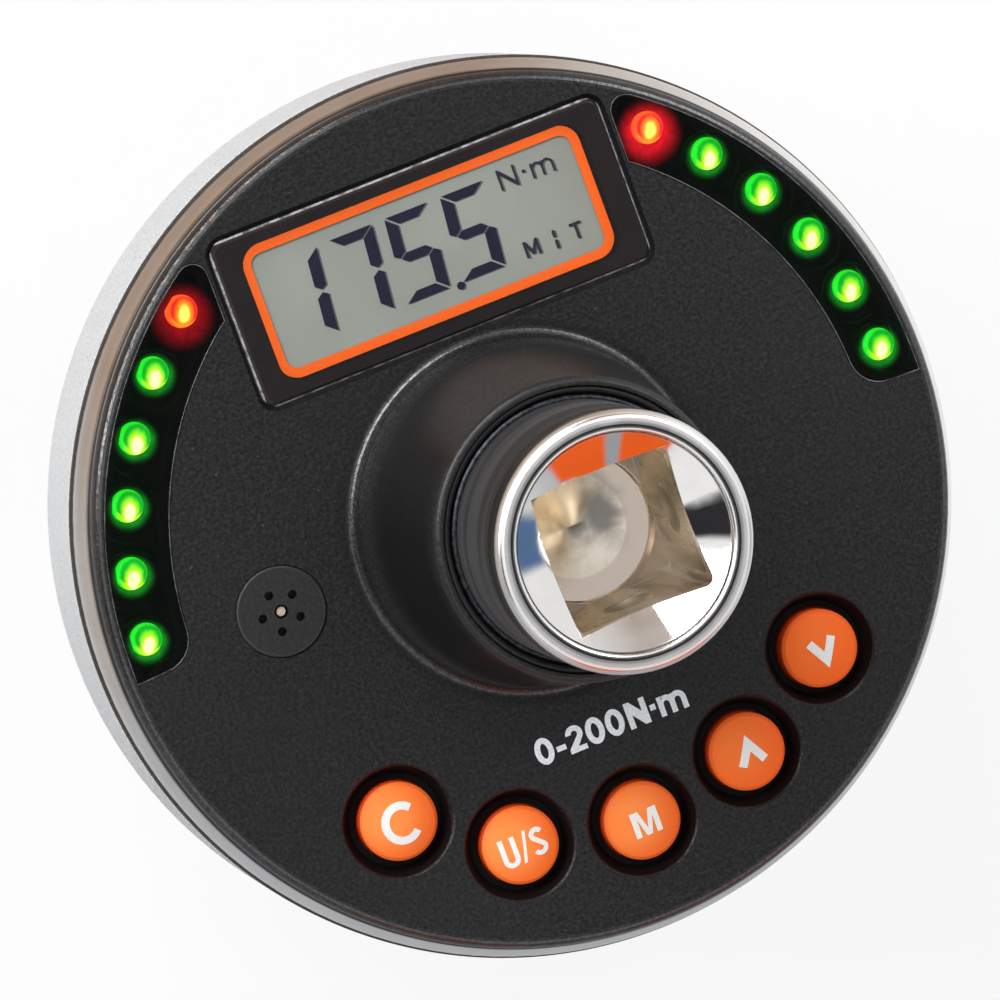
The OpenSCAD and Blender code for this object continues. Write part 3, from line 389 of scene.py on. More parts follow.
def clear_pane():
    """Cover pane of the display: clear in the middle, printed black behind its border."""
    s = Shader("window_clear")
    x, y, z = s.xyz()
    cloud = s.noise(300, 3.0, 0.6)
    clear = s.add("ShaderNodeBsdfTransparent")
    s.put(clear.inputs[0], (1, 1, 1))
    pane = pane_gloss(s, clear.outputs[0], s.steps(cloud, 0.4, 0.8, 0.03, 0.08))
    bevel_x = s.math("SUBTRACT", s.math("ABSOLUTE", x), 18.78 * MM)
    bevel_y = s.math("SUBTRACT", s.math("ABSOLUTE", s.math("SUBTRACT", y, LCD_MID_Y)), 7.53 * MM)
    bevel = s.steps(s.math("MAXIMUM", bevel_x, bevel_y), 0.0, 0.10 * MM)
    brink = s.steps(s.math("MAXIMUM", bevel_x, bevel_y), 0.17 * MM, 0.24 * MM)
    # worn edge and painted highlight: a light grey line along the outer brink of the printed border
    worn = s.math("MULTIPLY", brink, s.steps(s.noise(900, 4.0, 0.7), 0.36, 0.60, 0.2, 1.0))
    black = s.mix(cloud, (0.018, 0.0155, 0.016), (0.026, 0.022, 0.0225))
    border = s.principled(
        Base_Color=s.mix(worn, black, (0.40, 0.40, 0.41)),
        Roughness=s.math("ADD", s.steps(cloud, 0.4, 0.8, 0.06, 0.13), s.math("MULTIPLY", bevel, 0.15)),
        Specular_IOR_Level=0.5)
    corner = 2.05 * MM
    out_x = s.math("MAXIMUM", s.math("SUBTRACT", s.math("ABSOLUTE", x), PANE_LIT_W - corner), 0.0)
    out_y = s.math("SUBTRACT", s.math("ABSOLUTE", s.math("SUBTRACT", y, LCD_MID_Y)), PANE_LIT_H - corner)
    outside = s.steps(s.length(out_x, s.math("MAXIMUM", out_y, 0.0)), corner - 0.02 * MM, corner + 0.02 * MM)
    lamp = s.math("SUBTRACT", 1.0, s.add("ShaderNodeLightPath").outputs["Is Shadow Ray"])
    return s.finish(s.shader_mix(s.math("MULTIPLY", outside, lamp), pane, border))


def glow_field(s, lean, left=0.0, right=0.0):
    """Distances on the light windows to the red light and to the nearest green one."""
    x, y, z = s.xyz()
    aside = s.steps(x, -2 * MM, 2 * MM, left, right)
    side = s.math("ABSOLUTE", s.math("SUBTRACT", s.math("SUBTRACT", x, DOWN[0] * lean), aside))
    up = s.math("SUBTRACT", y, DOWN[1] * lean)
    angle = s.math("ARCTAN2", side, up)
    count = s.math("DIVIDE", s.math("SUBTRACT", angle, LED_FIRST), LED_STEP)
    nearest = s.math("MINIMUM", s.math("MAXIMUM", s.math("ROUND", count), 1), LED_COUNT - 1)
    across = s.math("SUBTRACT", s.length(side, up), LED_RING_R)
    green = s.length(across, s.math("MULTIPLY", s.math("SUBTRACT", count, nearest), LED_STEP * LED_RING_R))
    red = s.length(across, s.math("MULTIPLY", count, LED_STEP * LED_RING_R))
    return red, green


def smoked_pane():
    """Smoked window with a painted glow of the lights, painted highlights on the rims of their wells behind it, and a
    faint painted reflection round its outer band.
    """
    s = Shader("smoke")
    x, y, z = s.xyz()
    cloud = s.noise(500, 3.0, 0.6)
    tint = s.add("ShaderNodeBsdfTransparent")
    s.put(tint.inputs[0], (0.50, 0.515, 0.505))
    pane = pane_gloss(s, tint.outputs[0], s.steps(cloud, 0.4, 0.8, 0.04, 0.10))
    # painted glow of the lights, emitted by the pane itself
    red, green = glow_field(s, 0.22 * MM, 0.05 * MM, -0.22 * MM)
    red_low, green_low = glow_field(s, 0.6 * MM)
    streak = s.steps(s.noise(700, 3.0, 0.6, distort=0.8), 0.35, 0.7, 0.75, 1.15)
    strong = s.steps(x, -2 * MM, 2 * MM, 0.40, 1.0)
    near_red = s.math("POWER", s.steps(red, 3.3 * MM, 1.1 * MM), 1.7)
    near_green = s.math("POWER", s.steps(green, 2.45 * MM, 1.35 * MM), 2.6)
    well_red = s.math("POWER", s.steps(red_low, 3.3 * MM, 1.6 * MM), 1.2)
    # painted highlight: lit rims of the wells, emitted by the pane
    rim = s.steps(s.math("ABSOLUTE", s.math("SUBTRACT", green_low, 2.72 * MM)), 0.10 * MM, 0.02 * MM)
    rim = s.math("MULTIPLY", rim, s.steps(s.noise(260, 2.0, 0.5), 0.42, 0.62))
    red_part = s.math("ADD", s.math("MULTIPLY", near_red, 1.0), s.math("MULTIPLY", well_red, 0.75))
    red_part = s.math("MULTIPLY", s.math("MULTIPLY", red_part, strong), streak)
    green_part = s.math("ADD", s.math("MULTIPLY", near_green, 0.50), s.math("MULTIPLY", rim, 0.020))
    green_part = s.math("ADD", s.math("MULTIPLY", green_part, streak), s.steps(red, 3.5 * MM, 6 * MM, 0.0, 0.002))
    # painted reflection: a faint lighter band round the pane's outer edge, emitted
    painted_band_reflection = s.steps(s.radius(), 38.2 * MM, 39.2 * MM, 0.0042, 0.0080)
    painted_band_reflection = s.math("MULTIPLY", painted_band_reflection, s.steps(cloud, 0.3, 0.7, 0.8, 1.2))
    color = s.add("ShaderNodeCombineXYZ")
    for socket, red_share, green_share in zip(color.inputs, (1.0, 0.01, 0.025), (0.03, 1.0, 0.07)):
        painted_glow = s.math("ADD", s.math("MULTIPLY", red_part, red_share), s.math("MULTIPLY", green_part, green_share))
        s.put(socket, s.math("ADD", painted_glow, painted_band_reflection))
    painted_glow = s.add("ShaderNodeEmission")
    s.put(painted_glow.inputs["Color"], color.outputs[0])
    s.put(painted_glow.inputs["Strength"], s.steps(z, FACE - 0.55 * MM, FACE - 0.60 * MM))
    both = s.add("ShaderNodeAddShader")
    s.put(both.inputs[0], pane)
    s.put(both.inputs[1], painted_glow.outputs[0])
    return s.finish(both.outputs[0])


def lens(name, rim, body, deep, halo, core, low, strength):
    """A lit diode seen from above: bright rim, darker ring, and a flame that leans down."""
    s = Shader(name)
    local = s.add("ShaderNodeAttribute", attribute_name="led_place")
    split = s.add("ShaderNodeSeparateXYZ")
    s.put(split.inputs[0], local.outputs["Vector"])
    lx, ly, lz = split.outputs
    px, py = s.math("SUBTRACT", lx, 0.20), s.math("SUBTRACT", ly, -0.06)
    wobble = s.math("SUBTRACT", s.noise(1100, 3.0, 0.6, distort=0.5), 0.5)
    along = s.math("ADD", s.math("MULTIPLY", px, DOWN[0]), s.math("MULTIPLY", py, DOWN[1]))
    aside = s.math("SUBTRACT", s.math("MULTIPLY", px, DOWN[1]), s.math("MULTIPLY", py, DOWN[0]))
    r = s.math("ADD", s.length(aside, s.math("MULTIPLY", along, 0.95)), s.math("MULTIPLY", wobble, 0.30))
    flame = s.length(s.math("MULTIPLY", s.math("SUBTRACT", along, low), 0.66), aside)
    flame = s.math("ADD", flame, s.math("MULTIPLY", wobble, 0.35))
    smile = s.math("MULTIPLY", s.steps(s.math("ABSOLUTE", s.math("SUBTRACT", r, 1.30)), 0.20, 0.05),
                   s.steps(along, 0.45, 1.0))
    color = s.ramp(s.math("DIVIDE", r, 1.7), [
        (0.00, body), (0.46, body), (0.58, deep), (0.68, deep), (0.78, rim), (0.90, rim), (1.0, body)])
    color = s.mix(s.math("MULTIPLY", smile, 0.75), color, halo)
    color = s.mix(s.steps(flame, 1.05, 0.45), color, halo)
    color = s.mix(s.steps(flame, 0.66, 0.36), color, core)
    color = s.mix(s.steps(lz, -0.75, -0.45), tuple(c * 0.02 for c in deep), color)
    return s.finish(s.principled(
        Base_Color=tuple(c * 0.05 for c in body), Roughness=0.25, Specular_IOR_Level=0.1,
        Emission_Color=color, Emission_Strength=strength))


def lcd_panel():
    """Grey green panel, with painted shade close to the edge of its opening and towards its right side."""
    s = Shader("lcd_grey")
    x, y, z = s.xyz()
    edge_x = s.math("SUBTRACT", 17.6 * MM, s.math("ABSOLUTE", x))
    edge_y = s.math("SUBTRACT", 6.75 * MM, s.math("ABSOLUTE", s.math("SUBTRACT", y, LCD_MID_Y)))
    edge = s.math("MINIMUM", edge_x, edge_y)
    fine = s.noise(9000, 2.0, 0.6)
    broad = s.noise(110, 2.0, 0.5)
    color = s.mix(s.steps(broad, 0.3, 0.7), (0.305, 0.335, 0.302), (0.335, 0.365, 0.328))
    # painted shade: warmer and darker towards the right side
    color = s.mix(s.steps(x, 5 * MM, 17 * MM, 0, 0.40), color, (0.255, 0.235, 0.205))
    # painted shade: darker close to the edge of the opening
    color = s.mix(s.steps(edge, 1.7 * MM, 0.7 * MM, 0, 0.40), color, (0.215, 0.205, 0.185))
    color = s.mix(s.steps(fine, 0.35, 0.75, 0, 0.12), color, (0.30, 0.31, 0.27))
    return s.finish(s.principled(
        Base_Color=color, Roughness=0.35, Specular_IOR_Level=0.15,
        Normal=s.bump(fine, 0.05, 0.01 * MM)))


def film(name, color, alpha):
    """Dark liquid crystal, or its shadow on the panel."""
    s = Shader(name)
    fine = s.noise(7000, 2.0, 0.6)
    paint = s.add("ShaderNodeBsdfPrincipled")
    s.put(paint.inputs["Base Color"], s.mix(s.steps(fine, 0.3, 0.75), color, tuple(c * 1.5 for c in color)))
    paint.inputs["Roughness"].default_value = 0.4
    paint.inputs["Specular IOR Level"].default_value = 0.1
    paint.inputs["Alpha"].default_value = alpha
    return s.finish(paint.outputs[0])


def key_orange():
    """Satin orange key cap, with a painted highlight off its middle and painted shade low on its sides."""
    s = Shader("key_orange")
    x, y, z = s.xyz()
    angle = s.math("DIVIDE", s.math("ARCTAN2", x, s.math("MULTIPLY", y, -1)), KEY_STEP)
    nearest = s.math("MINIMUM", s.math("MAXIMUM", s.math("ROUND", angle), -2), 2)
    turn = s.math("MULTIPLY", nearest, KEY_STEP)
    kx = s.math("SUBTRACT", s.math("MULTIPLY", s.math("SINE", turn), KEY_RING_R), 0.85 * MM)
    ky = s.math("ADD", s.math("MULTIPLY", s.math("COSINE", turn), -KEY_RING_R), 0.55 * MM)
    # painted highlight: the key is lighter towards a point off its middle
    from_highlight = s.length(s.math("SUBTRACT", x, kx), s.math("SUBTRACT", y, ky))
    low = s.steps(z, FACE + 0.30 * MM, FACE - 0.4 * MM)
    grain = s.noise(4200, 3.0, 0.6)
    broad = s.noise(240, 2.0, 0.5)
    color = s.mix(s.steps(from_highlight, 0.8 * MM, 4.4 * MM), (1.0, 0.30, 0.075), (0.94, 0.145, 0.020))
    color = s.mix(s.steps(broad, 0.35, 0.7, 0, 0.3), color, (0.97, 0.185, 0.030))
    color = s.mix(s.steps(nearest, -0.5, 1.5, 0, 0.75), color, (0.96, 0.135, 0.018))
    # painted shade: the key is coloured darker low on its sides, down in the well
    color = s.mix(low, color, (0.74, 0.065, 0.010))
    return s.finish(s.principled(
        Base_Color=color, Roughness=s.steps(grain, 0.3, 0.75, 0.44, 0.56), Specular_IOR_Level=0.15,
        Normal=s.bump(grain, 0.10, 0.02 * MM)))


def paint(name, color, rough=0.5, scale=5200, wear=0.25):
    """Screen print: even, with a slightly broken grain."""
    s = Shader(name)
    grain = s.noise(scale, 3.0, 0.65)
    worn = tuple(c * (1 - wear) for c in color)
    return s.finish(s.principled(
        Base_Color=s.mix(s.steps(grain, 0.62, 0.36), color, worn), Roughness=rough,
        Specular_IOR_Level=0.35, Normal=s.bump(grain, 0.15, 0.02 * MM)))


MATERIALS = {
    "cover_black": cover_black(),
    "bezel_silver": polished_ring(),
    "chrome_steel": chrome_steel(),
    "ball_steel": worn_metal("ball_steel", (0.62, 0.62, 0.63), (0.72, 0.72, 0.73), (0.10, 0.18)),
    "spring_steel": worn_metal("spring_steel", (0.42, 0.42, 0.43), (0.58, 0.58, 0.59)),
    "screw_steel": worn_metal("screw_steel", (0.34, 0.34, 0.35), (0.50, 0.50, 0.51), (0.26, 0.40)),
    "gauge_foil": moulded("gauge_foil", (0.50, 0.32, 0.12), (0.66, 0.45, 0.18)),
    "seal_rubber": rubber(),
    "housing_grey": housing_grey(),
    "ring_dark": worn_metal("ring_dark", (0.022, 0.025, 0.029), (0.060, 0.066, 0.074), (0.36, 0.48), 2400),
    "window_clear": clear_pane(),
    "mask_black": moulded("mask_black", (0.012, 0.011, 0.012), (0.018, 0.016, 0.017), (0.25, 0.35), 5000, 0.03),
    "line_orange": paint("line_orange", (1.0, 0.150, 0.012), 0.5, 6000, 0.06),
    "lcd_grey": lcd_panel(),
    "holder_white": moulded("holder_white", (0.60, 0.60, 0.57), (0.72, 0.72, 0.69)),
    "zebra_grey": moulded("zebra_grey", (0.06, 0.06, 0.07), (0.16, 0.16, 0.17)),
    "smoke": smoked_pane(),
    "holder_black": moulded("holder_black", (0.006, 0.007, 0.007), (0.013, 0.014, 0.014), (0.4, 0.55), level=0.15),
    "led_red": lens("led_red", (1.0, 0.10, 0.010), (0.90, 0.06, 0.006), (0.70, 0.012, 0.006),
                    (1.0, 0.30, 0.006), (1.0, 0.90, 0.13), 0.22, 5.2),
    "led_green": lens("led_green", (0.008, 0.55, 0.012), (0.006, 0.34, 0.008), (0.002, 0.17, 0.003),
                      (0.50, 0.82, 0.002), (0.98, 1.0, 0.42), 0.58, 5.6),
    "buzzer_tan": moulded("buzzer_tan", (0.42, 0.33, 0.25), (0.60, 0.49, 0.38)),
    "board_green": moulded("board_green", (0.012, 0.085, 0.035), (0.022, 0.13, 0.055)),
    "chip_black": moulded("chip_black", (0.012, 0.012, 0.012), (0.030, 0.030, 0.030)),
    "switch_metal": worn_metal("switch_metal", (0.50, 0.50, 0.51), (0.64, 0.64, 0.65)),
    "key_orange": key_orange(),
    "cell_wrap": moulded("cell_wrap", (0.10, 0.12, 0.16), (0.17, 0.19, 0.24)),
    "contact_steel": worn_metal("contact_steel", (0.55, 0.54, 0.52), (0.70, 0.69, 0.67)),
}
PRINT_WHITE = paint("print_white", (0.82, 0.85, 0.89), 0.55, 4200, 0.18)
KEY_WHITE = paint("key_white", (0.88, 0.86, 0.84), 0.5, 5200, 0.06)
BEAD = moulded("bead_grey", (0.015, 0.015, 0.016), (0.115, 0.115, 0.120), (0.22, 0.34), 900, 0.05, level=0.9)
GASKET_BROWN = moulded("gasket_brown", (0.046, 0.037, 0.031), (0.078, 0.064, 0.054), level=0.3)
CRYSTAL = film("lcd_crystal", (0.016, 0.018, 0.034), 0.96)
CRYSTAL_THIN = film("lcd_crystal_thin", (0.028, 0.031, 0.042), 0.82)
CRYSTAL_SHADE = film("lcd_shade", (0.10, 0.105, 0.12), 0.30)

for part in frame["record"]["subparts"]:
    mesh = NODES[part["node"]].data
    mesh.materials.clear()
    mesh.materials.append(MATERIALS[part["material_slot"]])


# ---------------------------------------------------------------- flat shapes

def shape_from(polygons):
    """A flat mesh of the given closed outlines."""
    bm = bmesh.new()
    for points in polygons:
        bm.faces.new([bm.verts.new((x, y, 0)) for x, y in points])
    bm.normal_update()
    return bm


def refine(bm, longest):
    """Cuts edges until none is longer than longest, so that a flat shape can bend."""
    bmesh.ops.triangulate(bm, faces=bm.faces[:])
    for _ in range(8):
        long_edges = [e for e in bm.edges if e.calc_length() > longest]
        if not long_edges:
            break
        bmesh.ops.subdivide_edges(bm, edges=long_edges, cuts=1)
        bmesh.ops.triangulate(bm, faces=bm.faces[:])


def piece(name, bm, material, body):
    """A new visible piece that rides on a body."""
    mesh = bpy.data.meshes.new(name)
    bm.to_mesh(mesh)
    bm.free()
    mesh.materials.append(material)
    obj = bpy.data.objects.new(name, mesh)
    bpy.context.scene.collection.objects.link(obj)
    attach(obj, body)
    return obj


def laid(name, bm, origin, surface, thick, material, body, lift=0.0, longest=None):
    """A thin closed layer: the flat shape bm (millimetres) about origin, on the height surface(x, y)."""
    if longest:
        refine(bm, longest)
    bmesh.ops.remove_doubles(bm, verts=bm.verts[:], dist=1e-5)
    for f in bm.faces:
        if f.normal.z < 0:
            f.normal_flip()
    top = bmesh.ops.extrude_face_region(bm, geom=bm.faces[:])
    raised = {v for v in top["geom"] if isinstance(v, bmesh.types.BMVert)}
    for v in bm.verts:
        x, y = origin[0] + v.co.x * MM, origin[1] + v.co.y * MM
        z = surface(x, y) + lift + (thick if v in raised else 0)
        v.co = (x, y, z)
    bmesh.ops.recalc_face_normals(bm, faces=bm.faces[:])
    return piece(name, bm, material, body)


def level(height):
    return lambda x, y: height


def stroke(points, width):
    """Outline of an open polyline with mitred joins."""
    left, right = [], []
    n = len(points)
    for i, p in enumerate(points):
        a = Vector(points[max(i - 1, 0)])
        b = Vector(points[min(i + 1, n - 1)])
        here = Vector(p)
        if 0 < i < n - 1:
            d0 = (here - a).normalized()
            d1 = (b - here).normalized()
            tangent = (d0 + d1).normalized()
            normal = Vector((-tangent.y, tangent.x))
            reach = width / 2 / max(normal.dot(Vector((-d0.y, d0.x))), 0.3)
        else:
            tangent = (b - a).normalized()
            normal = Vector((-tangent.y, tangent.x))
            reach = width / 2
        left.append(here + normal * reach)
        right.append(here - normal * reach)
    return [tuple(p) for p in left + right[::-1]]


def stroke_quads(points, width):
    """The same band as separate quads, which bend round arcs without overlaps."""
    outline = stroke(points, width)
    n = len(points)
    left, right = outline[:n], outline[n:][::-1]
    return [[left[i], right[i], right[i + 1], left[i + 1]] for i in range(n - 1)]


def arc(cx, cy, rx, ry, a0, a1, steps):
    return [(cx + rx * math.cos(math.radians(a0 + (a1 - a0) * i / steps)),
             cy + ry * math.sin(math.radians(a0 + (a1 - a0) * i / steps))) for i in range(steps + 1)]


# ---------------------------------------------------------------- display

DIGIT_H = 8.0
DIGIT_W = 4.3
DIGIT_SV = 1.10
DIGIT_SH = 0.88
DIGIT_GAP = 0.12
DIGIT_LOW = 21.5
SLANT = math.tan(math.radians(5.5))


def segments(width, height, sv, sh, gap):
    """The seven bars of a digit about its own middle, as closed outlines."""
    w, h, g, k = width / 2, height / 2, gap, sh / 2
    low = [(-w + g, -h), (-w + sv + g, -h + sh), (w - sv - g, -h + sh), (w - g, -h)]
    left = [(-w, h - g), (-w + sv, h - sh - g), (-w + sv, k + g), (-w + sv * 0.45, g), (-w, k * 0.7 + g)]
    return {
        "a": [(x, -y) for x, y in low[::-1]],
        "d": low,
        "g": [(-w + sv / 2 + g, 0), (-w + sv + g, k), (w - sv - g, k), (w - sv / 2 - g, 0),
              (w - sv - g, -k), (-w + sv + g, -k)],
        "f": left,
        "b": [(-x, y) for x, y in left[::-1]],
        "e": [(x, -y) for x, y in left[::-1]],
        "c": [(-x, -y) for x, y in left],
    }


BARS = {"1": "bc", "7": "abc", "5": "afgcd"}


def digit(symbol, cx, cy):
    bars = segments(DIGIT_W, DIGIT_H, DIGIT_SV, DIGIT_SH, DIGIT_GAP)
    return [[(cx + x + y * SLANT, cy + y) for x, y in bars[b]] for b in BARS[symbol]]


def moved(polygons, dx, dy=0.0):
    return [[(x + dx, y + dy) for x, y in points] for points in polygons]


def letter_n(w, h, t):
    k = t * 1.25
    return [(0, 0), (t, 0), (t, h - 1.9 * k), (w - t, 0), (w, 0), (w, h), (w - t, h), (w - t, 1.9 * k), (t, h), (0, h)]


def letter_m(w, h, t):
    return [(0, 0), (t, 0), (t, h * 0.66), (w / 2 - t * 0.5, h * 0.12), (w / 2 + t * 0.5, h * 0.12), (w - t, h * 0.66),
            (w - t, 0), (w, 0), (w, h), (w - t * 1.1, h), (w / 2, h * 0.40), (t * 1.1, h), (0, h)]


def letter_small_m(w, h, t):
    """One outline with three stems and two round arches."""
    step = (w - t) / 2
    rx = (step - t) / 2
    lift = h - rx * 1.15 - t
    out = [(0, 0), (t, 0), (t, lift)]
    out += arc(t + rx, lift, rx, rx * 1.15, 180, 0, 8)[1:]
    out += [(step, 0), (step + t, 0), (step + t, lift)]
    out += arc(step + t + rx, lift, rx, rx * 1.15, 180, 0, 8)[1:]
    out += [(w - t, 0), (w, 0)]
    out += arc(w - rx - t, lift, rx + t, rx * 1.15 + t, 0, 118, 10)
    out += arc(step - rx, lift, rx + t, rx * 1.15 + t, 62, 122, 6)
    out += [(t, lift + rx + t * 0.3), (t, h), (0, h)]
    return out


def lcd_shapes():
    """Reading, in millimetres from the axis."""
    mid = DIGIT_LOW + DIGIT_H / 2
    out = []
    for symbol, cx in (("1", -12.05), ("7", -6.55), ("5", -1.05), ("5", 4.45)):
        out += digit(symbol, cx, mid)
    out.append(arc(1.70, 21.30, 0.37, 0.37, 0, 345, 23))
    return out


def mark_shapes():
    """Unit and small marks beside the reading."""
    out = moved([letter_n(1.75, 1.95, 0.21)], 8.3, 27.9)
    out.append([(10.62, 28.78), (10.90, 28.78), (10.90, 29.06), (10.62, 29.06)])
    out += moved([letter_small_m(2.2, 1.42, 0.21)], 11.45, 27.9)
    # small marks
    s0, s1, t = 21.35, 22.88, 0.25
    out += moved([letter_m(1.45, s1 - s0, t)], 8.35, s0)
    for low, high in ((-0.22, 0.72), (0.84, 1.62)):
        out.append([(11.32, s0 + low), (11.56, s0 + low + 0.12), (11.56, s0 + high - 0.12), (11.42, s0 + high),
                    (11.27, s0 + high - 0.15), (11.27, s0 + low + 0.15)])
    out.append([(12.98, s1 - t), (13.40, s1 - t), (13.40, s0), (13.66, s0), (13.66, s1 - t), (14.08, s1 - t),
                (14.08, s1), (12.98, s1)])
    return out


for name, shapes, material in (("lcd_reading", lcd_shapes(), CRYSTAL), ("lcd_marks", mark_shapes(), CRYSTAL_THIN)):
    laid(name, shape_from(shapes), (0, 0), level(LCD_TOP), 0.03 * MM, material, "gauge", lift=0.02 * MM)
    laid(name + "_shade", shape_from(shapes), (0.16 * MM, -0.12 * MM), level(LCD_TOP), 0.006 * MM,
         CRYSTAL_SHADE, "gauge", lift=0.004 * MM)


# ---------------------------------------------------------------- prints

def range_shapes():
    """0-200 N.m in bold strokes, 2.5 high, about its own middle."""
    zero = stroke_quads(arc(0.95, 1.25, 0.62, 1.0, 0, 360, 32), 0.54)
    two = [[(0.12, 0), (1.78, 0), (1.78, 0.48), (0.98, 0.48)] + arc(0.94, 1.70, 0.82, 0.80, -36, 178, 16)
           + arc(0.94, 1.70, 0.30, 0.30, 178, -42, 12) + [(0.12, 0.42)]]
    out, at = [], 0.0
    for shape, step in ((zero, 1.98), ([[(0.1, 0.68), (1.02, 0.68), (1.02, 1.18), (0.1, 1.18)]], 1.14), (two, 1.94),
                        (zero, 1.98), (zero, 2.18), ([letter_n(2.05, 2.5, 0.54)], 2.30),
                        ([[(0, 0.95), (0.54, 0.95), (0.54, 1.49), (0, 1.49)]], 0.80),
                        ([letter_small_m(2.75, 1.88, 0.52)], 2.75)):
        out += moved(shape, at)
        at += step
    return moved(out, -at / 2, -1.25)


laid("range_print", shape_from(range_shapes()), (0.3 * MM, -21.0 * MM), level(FACE), 0.02 * MM,
     PRINT_WHITE, "gauge", lift=0.004 * MM)


def key_center(index):
    angle = math.radians(270) + index * KEY_STEP
    return KEY_RING_R * math.cos(angle), KEY_RING_R * math.sin(angle)


def dome(center):
    cx, cy = center
    return lambda x, y: KEY_TOP - KEY_DOME_R + math.sqrt(KEY_DOME_R ** 2 - (x - cx) ** 2 - (y - cy) ** 2)


def chevron(direction):
    reach, rise, width = 1.12, 0.98, 0.80
    return [stroke([(-reach, -rise * direction), (0, rise * direction), (reach, -rise * direction)], width)]


def unit_shapes():
    out = stroke_quads([(0, 2.6)] + arc(0.56, 0.62, 0.56, 0.58, 180, 360, 14) + [(1.12, 2.6)], 0.47)
    out += [[(1.55, -0.15), (1.85, -0.15), (2.55, 2.75), (2.25, 2.75)]]
    out += stroke_quads(arc(3.45, 1.96, 0.50, 0.44, 20, 215, 14) + arc(3.45, 0.66, 0.54, 0.46, 35, -160, 14), 0.45)
    return moved(out, -2.0, -1.3)


BOLD_M = [[(-1.30, -1.2), (-0.76, -1.2), (-0.76, 0.55), (-0.27, -1.2), (0.27, -1.2), (0.76, 0.55), (0.76, -1.2),
           (1.30, -1.2), (1.30, 1.2), (0.50, 1.2), (0, -0.50), (-0.50, 1.2), (-1.30, 1.2)]]
LEGENDS = (
    ("clear_key", -2, stroke_quads(arc(0, 0, 1.55, 1.62, 42, 318, 40), 0.74)),
    ("unit_key", -1, unit_shapes()),
    ("mode_key", 0, BOLD_M),
    ("up_key", 1, chevron(1)),
    ("down_key", 2, chevron(-1)),
)
for key, index, legend in LEGENDS:
    center = key_center(index)
    place = (center[0] + 0.12 * MM, center[1] - 0.12 * MM)
    laid(key + "_legend", shape_from(legend), place, dome(center), 0.022 * MM, KEY_WHITE, key,
         lift=0.006 * MM, longest=0.25)


# ---------------------------------------------------------------- gasket

def turned(profile, steps):
    """A closed ring: the closed outline profile of (radius, height) turned about the axis."""
    bm = bmesh.new()
    rings = []
    for i in range(steps):
        a = 2 * math.pi * i / steps
        rings.append([bm.verts.new((r * math.cos(a), r * math.sin(a), z)) for r, z in profile])
    n = len(profile)
    for i in range(steps):
        here, there = rings[i], rings[(i + 1) % steps]
        for k in range(n):
            bm.faces.new((here[k], there[k], there[(k + 1) % n], here[(k + 1) % n])).smooth = True
    bmesh.ops.recalc_face_normals(bm, faces=bm.faces[:])
    return bm


(_, _, gasket_low), (gasket_r, _, gasket_top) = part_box("housing_gasket")
mid = (gasket_low + gasket_top) / 2
half = (gasket_top - gasket_low) / 2
squeezed = [(gasket_r - 1.4 * MM, gasket_low), (GASKET_OUT - half, gasket_low), (GASKET_OUT - half * 0.3, mid - half * 0.7),
            (GASKET_OUT, mid), (GASKET_OUT - half * 0.3, mid + half * 0.7), (GASKET_OUT - half, gasket_top),
            (gasket_r - 1.4 * MM, gasket_top)]
squeezed_ring = piece("squeezed_gasket", turned(squeezed, 256), GASKET_BROWN, "gauge")
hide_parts("housing_gasket")


# ---------------------------------------------------------------- detent spring

coil = bmesh.new()
coil.from_mesh(NODES["detent_spring"].data)
spring = piece("ball_spring", coil, MATERIALS["spring_steel"], "gauge")
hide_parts("detent_spring")
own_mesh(spring)


# ---------------------------------------------------------------- lights

def lathe(bm, profile, steps, center, place_layer):
    """Adds a closed turned form about the vertical line through center."""
    rings = []
    for r, z in profile:
        if r == 0:
            v = bm.verts.new((center[0], center[1], z))
            v[place_layer] = (0, 0, (z - LED_TOP) / MM)
            rings.append([v])
            continue
        ring = []
        for i in range(steps):
            a = 2 * math.pi * i / steps
            v = bm.verts.new((center[0] + r * math.cos(a), center[1] + r * math.sin(a), z))
            v[place_layer] = (r * math.cos(a) / MM, r * math.sin(a) / MM, (z - LED_TOP) / MM)
            ring.append(v)
        rings.append(ring)
    for low, high in zip(rings, rings[1:]):
        for i in range(steps):
            j = (i + 1) % steps
            if len(low) == 1:
                bm.faces.new((low[0], high[j], high[i]))
            elif len(high) == 1:
                bm.faces.new((low[i], low[j], high[0]))
            else:
                bm.faces.new((low[i], low[j], high[j], high[i]))


def led_profile():
    base = BOARD_TOP + 0.06 * MM
    dome = 0.55 * MM
    out = [(0, base), (LED_FLANGE_R - 0.1 * MM, base), (LED_FLANGE_R, base + 0.1 * MM),
           (LED_FLANGE_R, base + 0.65 * MM), (LED_FLANGE_R - 0.08 * MM, base + 0.72 * MM),
           (LED_R + 0.02 * MM, base + 0.74 * MM), (LED_R, base + 0.8 * MM)]
    for i in range(12):
        a = math.pi / 2 * i / 12
        out.append((LED_R * math.cos(a), LED_TOP - dome + dome * math.sin(a)))
    return out + [(0, LED_TOP)]


def led_set(name, first, last, material, node):
    bm = bmesh.new()
    place_layer = bm.verts.layers.float_vector.new("led_place")
    for side in (-1, 1):
        for k in range(first, last + 1):
            a = LED_FIRST + k * LED_STEP
            lathe(bm, led_profile(), 32, (side * LED_RING_R * math.sin(a), LED_RING_R * math.cos(a)), place_layer)
    bmesh.ops.recalc_face_normals(bm, faces=bm.faces[:])
    for f in bm.faces:
        f.smooth = True
    obj = piece(name, bm, material, "gauge")
    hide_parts(node)
    return obj


led_set("red_lenses", 0, 0, MATERIALS["led_red"], "red_leds")
led_set("green_lenses", 1, LED_COUNT - 1, MATERIALS["led_green"], "green_leds")


# ---------------------------------------------------------------- rims of the light windows

